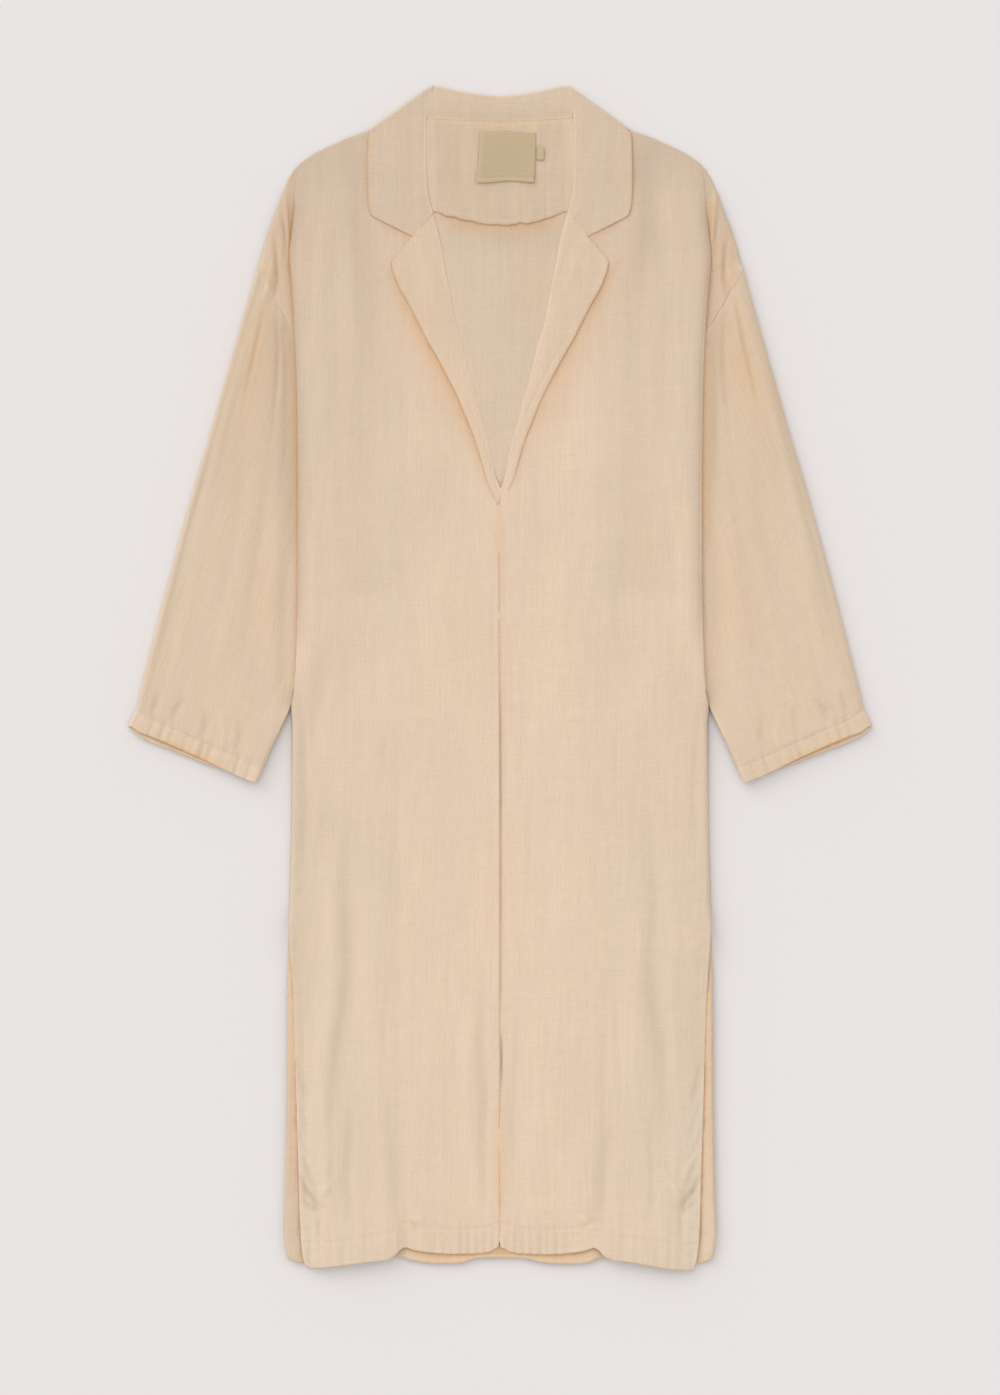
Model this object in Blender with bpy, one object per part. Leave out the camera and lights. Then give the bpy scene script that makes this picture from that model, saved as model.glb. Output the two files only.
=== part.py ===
"""Linen coat, laid flat on its back.

An open duster coat with dropped shoulders, wide straight sleeves, a notched
collar and side slits.  It lies face up: the back panel is on the surface, the
two fronts lie on it edge to edge, and the coat is folded along a line below
each shoulder so that the sleeves come out from under the body.

Every panel is a cloth wall through sections.  A section runs outwards from the
centre line.  Positions are given in millimetres as
    a  distance from the centre line
    d  distance down from the top of the collar
    z  height of the middle of the cloth above the surface
"""
import math
from collections import namedtuple

import bmesh
import bpy

# ---------------------------------------------------------------- sizes (mm)
MM = 0.001
LENGTH_ABOVE_CENTRE = 592.24     # top of the collar to the middle of the length
CLOTH = 1.1                      # wall of one cloth
DOUBLE_CLOTH = 1.6               # wall of collar and lapels, two cloths sewn
LABEL_CLOTH = 1.0
PITCH = 1.6                      # middle to middle of layers folded on each other
GAP = 0.3                        # clearance at a seam
SEAM_RISE = CLOTH + GAP          # middle to middle where two edges are sewn
Z_BACK = CLOTH / 2.0             # the back rests on the surface
FOLD_R = PITCH / 2.0             # bend radius of a fold
LIFT = 4.0 * PITCH               # front over both turns and the sleeve
SLEEVE_LIFT = 2.0 * PITCH        # sleeve over the back and its turn
SLEEVE_DROP = (218.0, 255.0)     # a: where the sleeve comes down to the surface
RISE_RUN = 75.0                  # width over which a front climbs on its turn
RISE_CLEAR = 10.0
TURN_BEND = 4.0                  # last stretch of a turn, bent to the side seam
FRONT_COLUMNS = 9                # facets across a front
SHOULDER_HUMP = 1.9              # back lifted by the collar fall behind it
HUMP_FRONT = 2.5
HUMP_DOWN = (80.0, 108.0)        # d: where that lift ends
HUMP_OUT = (132.0, 160.0)        # a: the same, sideways
COLLAR_ON_FRONT = 1.9            # middle to middle, collar and lapel on a front
COLLAR_BEHIND_Z = DOUBLE_CLOTH / 2.0
STAND_INSIDE_Z = 3.2             # collar stand across the back of the neck
STAND_UNDER = 3.25               # stand over the back where the fall covers it
ROLL_R = 1.45                    # collar roll
LAPEL_ROLL_R = 1.7
CUFF_PEEK = 4.0                  # back layer of the cuff, seen past the front one
NOTCH_AT = 0.46                  # along the lapel's top edge
SIDES = (("right", -1.0), ("left", 1.0))   # the wearer's sides

# ------------------------------------------------------------------- tables
# One row for each section of a front, from the shoulder to the hem.
#   d_in, a_in      inner end (neckline, lapel roll, then front edge)
#   d_side, a_side  outer end, at the fold line or side edge
#   a_valley        inner end of the turn under the fold (0 = no turn)
#   a_cap           outer end of the shoulder cap (0 = the turn ends at the side seam)
Row = namedtuple("Row", "d_in a_in d_side a_side a_valley a_cap")
FRONT = [
    Row(31.0, 95.0, 81.0, 204.0, 204.0, 210.0),
    Row(55.0, 95.0, 100.0, 205.5, 203.0, 215.5),
    Row(80.0, 94.0, 120.0, 207.0, 200.0, 222.5),
    Row(105.0, 92.0, 145.0, 209.0, 194.0, 232.0),
    Row(129.0, 74.0, 173.0, 210.4, 187.0, 239.5),
    Row(160.0, 66.0, 183.5, 210.2, 185.0, 241.6),
    Row(212.0, 56.0, 215.0, 207.0, 181.0, 224.5),
    Row(240.0, 51.0, 240.0, 205.3, 176.0, 210.5),
    Row(285.0, 38.5, 285.0, 203.0, 163.0, 185.7),
    Row(335.0, 25.0, 335.0, 202.0, 148.0, 158.0),
    Row(381.0, 13.0, 381.0, 201.5, 128.0, 132.7),
    Row(420.0, 1.0, 420.0, 201.3, 133.0, 0.0),
    Row(475.0, 1.0, 475.0, 201.4, 154.0, 0.0),
    Row(535.0, 1.0, 535.0, 202.0, 178.0, 0.0),
    Row(580.0, 1.0, 580.0, 203.5, 195.0, 0.0),
    Row(605.0, 1.0, 605.0, 205.0, 200.5, 0.0),
    Row(655.0, 1.0, 655.0, 207.5, 0.0, 0.0),
    Row(735.0, 1.2, 735.0, 208.3, 0.0, 0.0),
    Row(830.0, 1.2, 830.0, 210.5, 0.0, 0.0),
    Row(915.0, 1.2, 915.0, 206.0, 0.0, 0.0),
    Row(1005.0, 1.6, 1005.0, 202.5, 0.0, 0.0),
    Row(1091.0, 1.0, 1091.0, 199.0, 0.0, 0.0),
    Row(1140.0, 1.0, 1140.0, 197.8, 0.0, 0.0),
    Row(1185.0, 1.0, 1185.0, 192.0, 0.0, 0.0),
]
SLIT_ROW = 18                    # the side seam is sewn down to this row

# Back sections: d at the centre, then outer end below the side seam.
BACK_CENTRE_D = [37.0, 58.0, 80.0, 108.0, 140.0, 165.0] + [r.d_side for r in FRONT[6:]]
BACK_SIDE_A = {16: 207.5, 17: 208.6, 18: 211.5, 19: 212.2, 20: 212.8, 21: 214.0,
               22: 215.5, 23: 214.0}
BACK_INSET = 1.2                 # back fold lines lie inside the front's
BACK_COLUMNS_A = [0.0, 40.0, 70.0, 100.0, 132.0, 160.0, 185.0]

# How high the side of the coat is stacked, down its length.
STACK = [(81.0, 0.0), (100.0, 1.0), (605.0, 1.0), (655.0, 0.0)]

# Edges: (a, d)
NECKLINE = [(0.0, 37.0), (60.0, 34.5), (98.0, 31.0)]
SHOULDER = [(95.0, 32.0), (100.0, 36.5), (126.0, 50.5), (132.0, 52.5), (158.0, 57.5),
            (180.0, 66.5), (197.0, 76.0), (204.0, 81.0)]
FRONT_HEM = [(1.0, 1162.0), (20.0, 1168.0), (70.0, 1167.0), (88.0, 1164.0), (97.0, 1162.0),
             (110.0, 1173.0), (150.0, 1180.0), (187.0, 1185.0), (192.0, 1184.0)]
BACK_HEM = [(0.0, 1172.0), (25.0, 1173.0), (60.0, 1178.5), (95.0, 1173.0), (150.0, 1177.0),
            (199.0, 1178.0), (214.0, 1169.0)]
FACING_HEM = [(0.0, 140.0), (30.0, 137.0), (62.0, 128.0)]

# Largest soft folds of the skirt fronts.
Fold = namedtuple("Fold", "a d0 d1 half height")
FOLDS = [
    Fold(155.0, 740.0, 1080.0, 34.0, 2.6),
    Fold(24.0, 880.0, 1175.0, 26.0, 1.6),
    Fold(92.0, 1090.0, 1200.0, 20.0, 3.0),
]

# Sleeve rings from the armhole to the cuff: outer edge, inner edge.
Ring = namedtuple("Ring", "a_out d_out a_in d_in")
SLEEVE = [
    Ring(242.3, 183.2, 134.7, 378.2),
    Ring(262.0, 249.0, 144.0, 427.0),
    Ring(285.5, 330.0, 165.0, 487.0),
    Ring(310.0, 412.0, 186.0, 540.0),
    Ring(335.0, 507.0, 203.0, 583.0),
    Ring(353.0, 577.0, 217.0, 637.0),
    Ring(362.0, 621.0, 233.0, 676.0),
    Ring(371.5, 645.0, 241.5, 694.0),
]
RING_FACETS = 7

# Lapel sections from the notch down to the end of the roll.
Lapel = namedtuple("Lapel", "a_roll d_roll a_out d_out")
LAPEL = [
    Lapel(67.0, 128.6, 109.0, 177.0),
    Lapel(59.0, 158.0, 105.0, 192.0),
    Lapel(52.0, 197.0, 93.0, 217.0),
    Lapel(44.0, 240.0, 79.0, 245.0),
    Lapel(34.0, 275.0, 61.0, 275.0),
    Lapel(23.0, 315.0, 41.0, 315.0),
    Lapel(12.0, 355.0, 25.0, 355.0),
    Lapel(5.0, 390.0, 16.0, 390.0),
    Lapel(1.6, 407.0, 10.0, 407.0),
]

# Collar stations from the centre back to the gorge.  The whole band folds over
# along a slanting line at the shoulder: fall behind the back before it, on the
# front after it.   turn = angle round that fold, in degrees
Station = namedtuple("Station", "a_seam d_seam a_roll d_roll a_out d_out turn")
COLLAR = [
    Station(0.0, 36.6, 0.0, 11.0, 0.0, 57.0, 0.0),
    Station(26.0, 35.5, 26.0, 8.5, 26.0, 57.0, 0.0),
    Station(50.0, 34.5, 50.0, 5.0, 52.0, 56.5, 0.0),
    Station(74.0, 32.5, 60.0, 3.6, 88.0, 54.5, 0.0),
    Station(98.0, 30.4, 67.1, 3.7, 125.7, 48.9, 0.0),
    Station(98.0, 30.4, 67.1, 3.7, 125.7, 48.9, 45.0),
    Station(98.0, 30.4, 67.1, 3.7, 125.7, 48.9, 90.0),
    Station(98.0, 30.4, 67.1, 3.7, 125.7, 48.9, 135.0),
    Station(98.0, 30.4, 67.1, 3.7, 125.7, 48.9, 180.0),
    Station(94.4, 38.0, 71.5, 19.0, 129.5, 54.0, 180.0),
    Station(94.3, 56.0, 74.0, 44.0, 132.0, 66.0, 180.0),
    Station(93.2, 80.0, 74.0, 76.0, 132.5, 90.0, 180.0),
    Station(91.3, 104.0, 72.0, 105.0, 131.5, 113.0, 180.0),
    Station(77.5, 123.0, 67.6, 125.6, 129.0, 131.0, 180.0),
]
COLLAR_FOLD_OUT = (0.621, -0.783)          # (a, d) direction out of the shoulder fold
NOTCH_STEP = 0.45
FALL_STEPS = (0.0, 0.22, NOTCH_STEP, 0.72, 1.0)
FACING_D = (None, 58.0, 80.0, 108.0, None)
FACING_A = (80.0, 79.0, 76.0, 70.0, 62.0)
FACING_STEPS = (-1.0, -0.62, -0.3, 0.0, 0.3, 0.62, 1.0)
# Label and size tab, on the neck facing: (x at the left, x at the right, d)
LABEL = [(-20.0, 36.0, 46.0), (-21.0, 35.5, 63.0), (-22.5, 35.0, 80.0), (-24.0, 34.0, 98.0)]
SIZE_TAB = [(36.4, 44.0, 62.0), (36.0, 44.0, 75.0)]

# Colour of each piece, sRGB 0-255, and roughness
COLOURS = {
    "back": (217, 195, 171), "front": (226, 201, 177), "sleeve": (220, 197, 171),
    "lapel": (222, 198, 174), "collar": (213, 191, 168), "neck_facing": (212, 188, 161),
    "label": (189, 167, 132), "size_tab": (204, 184, 152),
}
ROUGHNESS = 0.92


# ---------------------------------------------------------------- functions
def clamp(t):
    return min(1.0, max(0.0, t))


def smooth(t):
    t = clamp(t)
    return t * t * (3.0 - 2.0 * t)


def along(table, key):
    """Value of a (key, value) table at a key, on straight lines between its rows."""
    if key <= table[0][0]:
        return table[0][1]
    for (k0, v0), (k1, v1) in zip(table, table[1:]):
        if key <= k1:
            return v0 + (v1 - v0) * (key - k0) / (k1 - k0)
    return table[-1][1]


VALLEY = [(r.d_side, r.a_valley) for r in FRONT if r.a_valley > 0.0]
INNER_EDGE = [(r.d_in, r.a_in) for r in FRONT]


def hump(a, d):
    down = clamp((HUMP_DOWN[1] - d) / (HUMP_DOWN[1] - HUMP_DOWN[0]))
    out = clamp((HUMP_OUT[1] - a) / (HUMP_OUT[1] - HUMP_OUT[0]))
    return down * out


def back_z(a, d):
    return Z_BACK + SHOULDER_HUMP * hump(a, d)


def skirt_folds(a, d):
    z = 0.0
    for f in FOLDS:
        if f.d0 < d < f.d1 and abs(a - f.a) < f.half:
            across = 0.5 + 0.5 * math.cos(math.pi * (a - f.a) / f.half)
            z += f.height * across * math.sin(math.pi * (d - f.d0) / (f.d1 - f.d0))
    return z


def front_z(a, d):
    top = along(VALLEY, d) - RISE_CLEAR
    rise = smooth((a - top + RISE_RUN) / RISE_RUN) * along(STACK, d)
    return Z_BACK + PITCH + HUMP_FRONT * hump(a, d) + LIFT * rise + skirt_folds(a, d)


def sleeve_z(a):
    """Height of the sleeve's under layer, and of the back's cap."""
    drop = smooth((a - SLEEVE_DROP[0]) / (SLEEVE_DROP[1] - SLEEVE_DROP[0]))
    return Z_BACK + SLEEVE_LIFT * (1.0 - drop)


def half_turn(a, z0, z1, d, bulge, steps=3):
    """Points of a fold from height z0 to z1 at a, bulging along a by its radius."""
    r = abs(z1 - z0) / 2.0
    pts = []
    for k in range(1, steps + 1):
        t = math.pi * k / steps
        pts.append((a + bulge * r * math.sin(t), d, z0 + (z1 - z0) * (1.0 - math.cos(t)) / 2.0))
    return pts


def turn_and_cap(row, index, a_side, z_main, step):
    """Fold, turn and shoulder cap of a front (step < 0) or back (step > 0) section."""
    d = row.d_side
    z_turn = z_main + step * PITCH
    z_cap = z_turn + step * PITCH
    a_end = a_side - FOLD_R
    pts = half_turn(a_end, z_main, z_turn, d, 1.0)
    bend = min(TURN_BEND, 0.4 * abs(a_end - row.a_valley))
    for a in (0.5 * (a_end + row.a_valley), row.a_valley + bend):
        pts.append((a, d, z_turn))
    if row.a_cap == 0.0:
        middle = Z_BACK + 2.5 * PITCH
        pts.append((row.a_valley, d, middle - step * 0.5 * SEAM_RISE))
        return pts
    pts.append((row.a_valley, d, z_turn))
    pts += half_turn(row.a_valley, z_turn, z_cap, d, -1.0)
    over = PITCH if step < 0.0 else 0.0
    for k in (1, 2, 3):
        a = row.a_valley + (row.a_cap - row.a_valley) * k / 3.0
        z = sleeve_z(a) + over
        if k == 3 and step < 0.0 and index <= 5:
            z = sleeve_z(a) + SEAM_RISE          # sewn to the back along the shoulder
        pts.append((a, d, z))
    return pts


def flat_shoulder(row, z):
    """The same stretch at the shoulder, before it folds: laid out flat."""
    count = 12
    pts = []
    for k in range(1, count + 1):
        t = k / count
        pts.append((row.a_side + (row.a_cap - row.a_side) * t, row.d_side + 5.0 * t, z))
    return pts


def front_section(index):
    row = FRONT[index]
    folded = index > 0 and row.a_valley > 0.0
    a_last = row.a_side - FOLD_R if folded else row.a_side
    pts = []
    for k in range(FRONT_COLUMNS + 1):
        u = k / FRONT_COLUMNS
        a = row.a_in + (a_last - row.a_in) * u
        d = row.d_in + (row.d_side - row.d_in) * u
        if index == 0:
            d = along(SHOULDER, a)
            z = back_z(a, d) + SEAM_RISE
        elif index == len(FRONT) - 1:
            d = along(FRONT_HEM, a)
            z = front_z(a, d)
        else:
            z = front_z(a, d)
        if k == FRONT_COLUMNS and 16 <= index <= SLIT_ROW:
            z = Z_BACK + SEAM_RISE               # side seam
        pts.append((a, d, z))
    if index == 0:
        return pts + flat_shoulder(row, Z_BACK + SEAM_RISE)
    if folded:
        pts += turn_and_cap(row, index, row.a_side, Z_BACK + 5.0 * PITCH, -1.0)
    return pts


def back_section(index):
    """Right half of a back section, from the centre line outwards."""
    row = FRONT[index]
    folded = index > 0 and row.a_valley > 0.0
    a_side = BACK_SIDE_A.get(index, row.a_side - BACK_INSET)
    a_last = a_side - FOLD_R if folded else a_side
    d_centre = BACK_CENTRE_D[index]
    pts = []
    for a in BACK_COLUMNS_A + [a_last]:
        if index == 0:
            d = along(NECKLINE, a) if a < 98.0 else along(SHOULDER, a)
        elif index == len(FRONT) - 1:
            d = along(BACK_HEM, a)
        else:
            d = d_centre + (row.d_side - d_centre) * max(0.0, (a - 100.0) / (a_last - 100.0))
        pts.append((a, d, back_z(a, d)))
    if index == 0:
        return pts + flat_shoulder(row._replace(a_side=a_side), Z_BACK)
    if folded:
        pts += turn_and_cap(row, index, a_side, Z_BACK, 1.0)
    return pts


def sleeve_ring(ring, last):
    ua, ud = ring.a_out - ring.a_in, ring.d_out - ring.d_in
    length = math.hypot(ua, ud)
    ua, ud = ua / length, ud / length

    def place(s, up, swell, drop):
        a, d = ring.a_in + ua * s, ring.d_in + ud * s + drop
        return (a + ua * swell, d + ud * swell, sleeve_z(a) + up)

    pts = []
    for k in range(RING_FACETS + 1):                       # upper layer, outwards
        s = FOLD_R + (length - 2.0 * FOLD_R) * k / RING_FACETS
        pts.append(place(s, PITCH, 0.0, 0.0))
    for t in (60.0, 120.0):                                # outer edge
        c, n = math.cos(math.radians(t)), math.sin(math.radians(t))
        pts.append(place(length - FOLD_R, FOLD_R * (1.0 + c), FOLD_R * n, 0.0))
    for k in range(RING_FACETS + 1):                       # under layer, inwards
        u = 1.0 - k / RING_FACETS
        s = FOLD_R + (length - 2.0 * FOLD_R) * u
        drop = CUFF_PEEK * math.sin(math.pi * u) if last else 0.0
        pts.append(place(s, 0.0, 0.0, drop))
    for t in (120.0, 60.0):                                # inner edge
        c, n = math.cos(math.radians(t)), math.sin(math.radians(t))
        pts.append(place(FOLD_R, FOLD_R * (1.0 + c), -FOLD_R * n, 0.0))
    return pts


def lapel_section(row):
    """Seam on the front's inner edge, roll, then out over the front."""
    a_seam = along(INNER_EDGE, row.d_roll) - GAP - 0.05
    z0 = front_z(a_seam, row.d_roll)
    z1 = z0 + 2.0 * LAPEL_ROLL_R
    r = min(LAPEL_ROLL_R, 0.6 * (a_seam - row.a_roll))
    pts = [(a_seam, row.d_roll, z0)]
    for k in range(5):
        t = math.pi * k / 4.0
        pts.append((row.a_roll + r - r * math.sin(t), row.d_roll,
                    z0 + (z1 - z0) * (1.0 - math.cos(t)) / 2.0))
    a0 = row.a_roll + r
    for u in (0.3, 0.65, 1.0):
        a = a0 + (row.a_out - a0) * u
        d = row.d_roll + (row.d_out - row.d_roll) * u
        z = front_z(a, d) + COLLAR_ON_FRONT
        pts.append((a, d, z + (z1 - z0 - COLLAR_ON_FRONT) * (1.0 - u) ** 1.5))
    return pts


def notch_point():
    """Inner corner of the notch, one seam gap off the lapel's top edge."""
    top = LAPEL[0]
    a0 = top.a_roll + LAPEL_ROLL_R
    la, ld = top.a_out - a0, top.d_out - top.d_roll
    length = math.hypot(la, ld)
    off = GAP + 0.15
    return (a0 + la * NOTCH_AT + off * ld / length, top.d_roll + ld * NOTCH_AT - off * la / length)


def collar_section(index):
    """Seam, stand, roll, fall."""
    st = COLLAR[index]
    last = index == len(COLLAR) - 1
    turn = math.radians(st.turn)
    mix, out = (1.0 - math.cos(turn)) / 2.0, math.sin(turn)

    def fold(a, d, z_before, z_after):
        r = 0.5 * (z_after - z_before)
        return (a + COLLAR_FOLD_OUT[0] * r * out, d + COLLAR_FOLD_OUT[1] * r * out,
                z_before + (z_after - z_before) * mix)

    ea, ed = st.a_roll - st.a_seam, st.d_roll - st.d_seam
    length = math.hypot(ea, ed)
    ea, ed = ea / length, ed / length
    a_in, d_in = st.a_roll - ea * ROLL_R, st.d_roll - ed * ROLL_R
    under = back_z(st.a_roll, st.d_roll) + STAND_UNDER
    if last:
        under = Z_BACK + PITCH + 0.75
    z_roll = under + 2.0 * ROLL_R

    stand = []
    for u in (0.0, 0.5, 1.0):
        stand.append(fold(st.a_seam + (a_in - st.a_seam) * u, st.d_seam + (d_in - st.d_seam) * u,
                          STAND_INSIDE_Z, under))
    fall = []
    for u in FALL_STEPS:
        a = a_in + (st.a_out - a_in) * u
        d = d_in + (st.d_out - d_in) * u
        if last:                                   # down the gorge, then out to the tip
            notch = notch_point()
            if u <= NOTCH_STEP:
                t = u / NOTCH_STEP
                a, d = a_in + (notch[0] - a_in) * t, d_in + (notch[1] - d_in) * t
            else:
                t = (u - NOTCH_STEP) / (1.0 - NOTCH_STEP)
                a, d = notch[0] + (st.a_out - notch[0]) * t, notch[1] + (st.d_out - notch[1]) * t
        on_front = front_z(a, d) + COLLAR_ON_FRONT
        z_after = on_front + (z_roll - on_front) * (1.0 - u) ** 1.5
        fall.append(fold(a, d, COLLAR_BEHIND_Z, z_after))
    p, q = stand[-1], fall[0]
    half = [(q[i] - p[i]) / 2.0 for i in range(3)]
    r = math.sqrt(sum(h * h for h in half))
    roll = []
    for k in (1, 2, 3):
        t = math.pi * k / 4.0
        c, n = -math.cos(t), math.sin(t)
        roll.append((p[0] + half[0] * (1.0 + c) + ea * r * n,
                     p[1] + half[1] * (1.0 + c) + ed * r * n,
                     p[2] + half[2] * (1.0 + c)))
    return stand + roll + fall


def facing_z(a, d):
    return back_z(a, d) + PITCH


# ----------------------------------------------------------------- modelling
def clear_scene():
    for ob in list(bpy.data.objects):
        bpy.data.objects.remove(ob, do_unlink=True)


def linear(c):
    c = c / 255.0
    return c / 12.92 if c <= 0.04045 else ((c + 0.055) / 1.055) ** 2.4


def material(name, kind):
    mat = bpy.data.materials.new(name)
    mat.use_nodes = True
    shader = mat.node_tree.nodes["Principled BSDF"]
    r, g, b = (linear(c) for c in COLOURS[kind])
    shader.inputs["Base Color"].default_value = (r, g, b, 1.0)
    shader.inputs["Roughness"].default_value = ROUGHNESS
    shader.inputs["Metallic"].default_value = 0.0
    return mat


def cloth(name, kind, sections, wall, ring=False):
    """Cloth wall through sections.  A section is {column: (x, d, z)}."""
    bm = bmesh.new()
    grid = []
    for section in sections:
        grid.append({j: bm.verts.new((p[0] * MM, (LENGTH_ABOVE_CENTRE - p[1]) * MM, p[2] * MM))
                     for j, p in section.items()})
    for upper, lower in zip(grid, grid[1:]):
        count = len(upper)
        for j in sorted(upper):
            k = (j + 1) % count if ring else j + 1
            if k in upper and j in lower and k in lower:
                bm.faces.new((upper[j], lower[j], lower[k], upper[k]))
    bm.normal_update()
    mesh = bpy.data.meshes.new(name)
    bm.to_mesh(mesh)
    bm.free()
    mesh.materials.append(material(name, kind))
    ob = bpy.data.objects.new(name, mesh)
    bpy.context.collection.objects.link(ob)
    wall_mod = ob.modifiers.new("wall", "SOLIDIFY")
    wall_mod.thickness = wall * MM
    wall_mod.offset = 0.0
    wall_mod.use_rim = True
    wall_mod.use_even_offset = False
    wall_mod.use_quality_normals = True
    mesh.shade_smooth()
    return ob


def numbered(points, side=1.0, start=0):
    return {start + j: (side * a, d, z) for j, (a, d, z) in enumerate(points)}


def both_sides(points):
    """Full section from its right half, whose first point is on the centre line."""
    section = numbered(points)
    section.update({-j: (-a, d, z) for j, (a, d, z) in enumerate(points) if j > 0})
    return section


def build():
    clear_scene()
    rows = range(len(FRONT))
    cloth("back", "back", [both_sides(back_section(i)) for i in rows], CLOTH)
    for word, side in SIDES:
        cloth("front_" + word, "front", [numbered(front_section(i), side) for i in rows], CLOTH)
        cloth("sleeve_" + word, "sleeve",
              [numbered(sleeve_ring(r, r is SLEEVE[-1]), side) for r in SLEEVE], CLOTH, ring=True)
        cloth("lapel_" + word, "lapel", [numbered(lapel_section(r), side) for r in LAPEL],
              DOUBLE_CLOTH)
    stations = [numbered(collar_section(i), -1.0) for i in reversed(range(1, len(COLLAR)))]
    stations += [numbered(collar_section(i), 1.0) for i in range(len(COLLAR))]
    cloth("collar", "collar", stations, DOUBLE_CLOTH)

    facing = []
    for i, reach in enumerate(FACING_A):
        section = {}
        for j, u in enumerate(FACING_STEPS):
            a = abs(u) * reach
            d = FACING_D[i]
            if i == 0:
                d = along(NECKLINE, a) + 0.4
            elif d is None:
                d = along(FACING_HEM, a)
            section[j] = (u * reach, d, facing_z(a, d))
        facing.append(section)
    cloth("neck_facing", "neck_facing", facing, CLOTH)
    on_facing = CLOTH / 2.0 + GAP + LABEL_CLOTH / 2.0
    for name, table in (("label", LABEL), ("size_tab", SIZE_TAB)):
        rows_of_label = []
        for x0, x1, d in table:
            rows_of_label.append({j: (x0 + (x1 - x0) * j / 2.0, d, facing_z(0.0, d) + on_facing)
                                  for j in range(3)})
        cloth(name, name, rows_of_label, LABEL_CLOTH)


build()
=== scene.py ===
"""Looks of the linen coat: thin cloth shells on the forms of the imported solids.

Positions are in millimetres as in the coat's own frame:
    a  distance from the centre line, d  distance down from the top of the collar,
    z  height above the surface that the coat lies on.
px, py = 500 + x, 85 + d are the same places as photograph pixels.
"""
import math

import bpy
import numpy as np
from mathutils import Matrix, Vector


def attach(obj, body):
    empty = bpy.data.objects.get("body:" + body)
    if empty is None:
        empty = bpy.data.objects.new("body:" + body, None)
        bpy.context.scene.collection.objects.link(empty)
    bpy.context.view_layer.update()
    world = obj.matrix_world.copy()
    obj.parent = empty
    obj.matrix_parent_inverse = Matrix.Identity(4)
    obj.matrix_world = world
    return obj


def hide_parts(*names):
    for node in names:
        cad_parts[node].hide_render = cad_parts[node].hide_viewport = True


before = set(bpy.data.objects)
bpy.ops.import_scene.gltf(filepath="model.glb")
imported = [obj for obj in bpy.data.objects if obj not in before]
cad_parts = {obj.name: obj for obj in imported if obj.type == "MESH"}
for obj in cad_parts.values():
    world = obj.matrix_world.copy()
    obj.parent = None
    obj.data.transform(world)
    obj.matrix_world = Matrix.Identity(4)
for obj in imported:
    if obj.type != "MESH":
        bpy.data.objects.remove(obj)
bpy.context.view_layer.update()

MM = 0.001
TOP = 592.24                 # d = 0 lies this far above the middle of the length
CLOTH = 0.9                  # shown thickness of one cloth
DOUBLE = 1.2                 # collar and lapels
PITCH = 1.6
Z_BACK = 0.55
Z_TURN = Z_BACK + 4.0 * PITCH    # the front's turn, under its fold line
LOFT_SIDE = 2.6              # extra height of a front along its fold line
LOFT_SKIRT = 7.2             # air under the fronts
SLEEVE_LIFT = 2.0 * PITCH
SIDES = (("right", -1.0), ("left", 1.0))


# ------------------------------------------------------------------ helpers
def smooth(t):
    t = np.clip(t, 0.0, 1.0)
    return t * t * (3.0 - 2.0 * t)


class Curve:
    """Smooth monotone curve through the rows of a short table."""

    def __init__(self, rows):
        x = np.array([r[0] for r in rows], float)
        y = np.array([r[1] for r in rows], float)
        h = np.diff(x)
        m = np.diff(y) / h
        s = np.zeros_like(y)
        s[0], s[-1] = m[0], m[-1]
        for i in range(1, len(x) - 1):
            if m[i - 1] * m[i] > 0.0:
                w1, w2 = 2 * h[i] + h[i - 1], h[i] + 2 * h[i - 1]
                s[i] = (w1 + w2) / (w1 / m[i - 1] + w2 / m[i])
        self.x, self.y, self.s = x, y, s

    def __call__(self, q):
        q = np.clip(np.asarray(q, float), self.x[0], self.x[-1])
        i = np.clip(np.searchsorted(self.x, q, side="right") - 1, 0, len(self.x) - 2)
        h = self.x[i + 1] - self.x[i]
        t = (q - self.x[i]) / h
        t2, t3 = t * t, t * t * t
        return ((2 * t3 - 3 * t2 + 1) * self.y[i] + (t3 - 2 * t2 + t) * h * self.s[i]
                + (3 * t2 - 2 * t3) * self.y[i + 1] + (t3 - t2) * h * self.s[i + 1])


def line(rows):
    x = [r[0] for r in rows]
    y = [r[1] for r in rows]
    return lambda q: np.interp(q, x, y)


LATTICE = np.random.RandomState(7).rand(256, 256)


def noise(u, v, seed=0):
    """Smooth value noise, -1 to 1, one cell per unit."""
    u = np.asarray(u, float) + 37.3 * seed
    v = np.asarray(v, float) + 91.7 * seed
    iu, iv = np.floor(u).astype(int), np.floor(v).astype(int)
    fu, fv = u - iu, v - iv
    fu, fv = fu * fu * (3 - 2 * fu), fv * fv * (3 - 2 * fv)
    g = lambda i, j: LATTICE[i & 255, j & 255]
    low = g(iu, iv) * (1 - fu) + g(iu + 1, iv) * fu
    high = g(iu, iv + 1) * (1 - fu) + g(iu + 1, iv + 1) * fu
    return 2.0 * (low * (1 - fv) + high * fv) - 1.0


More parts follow.
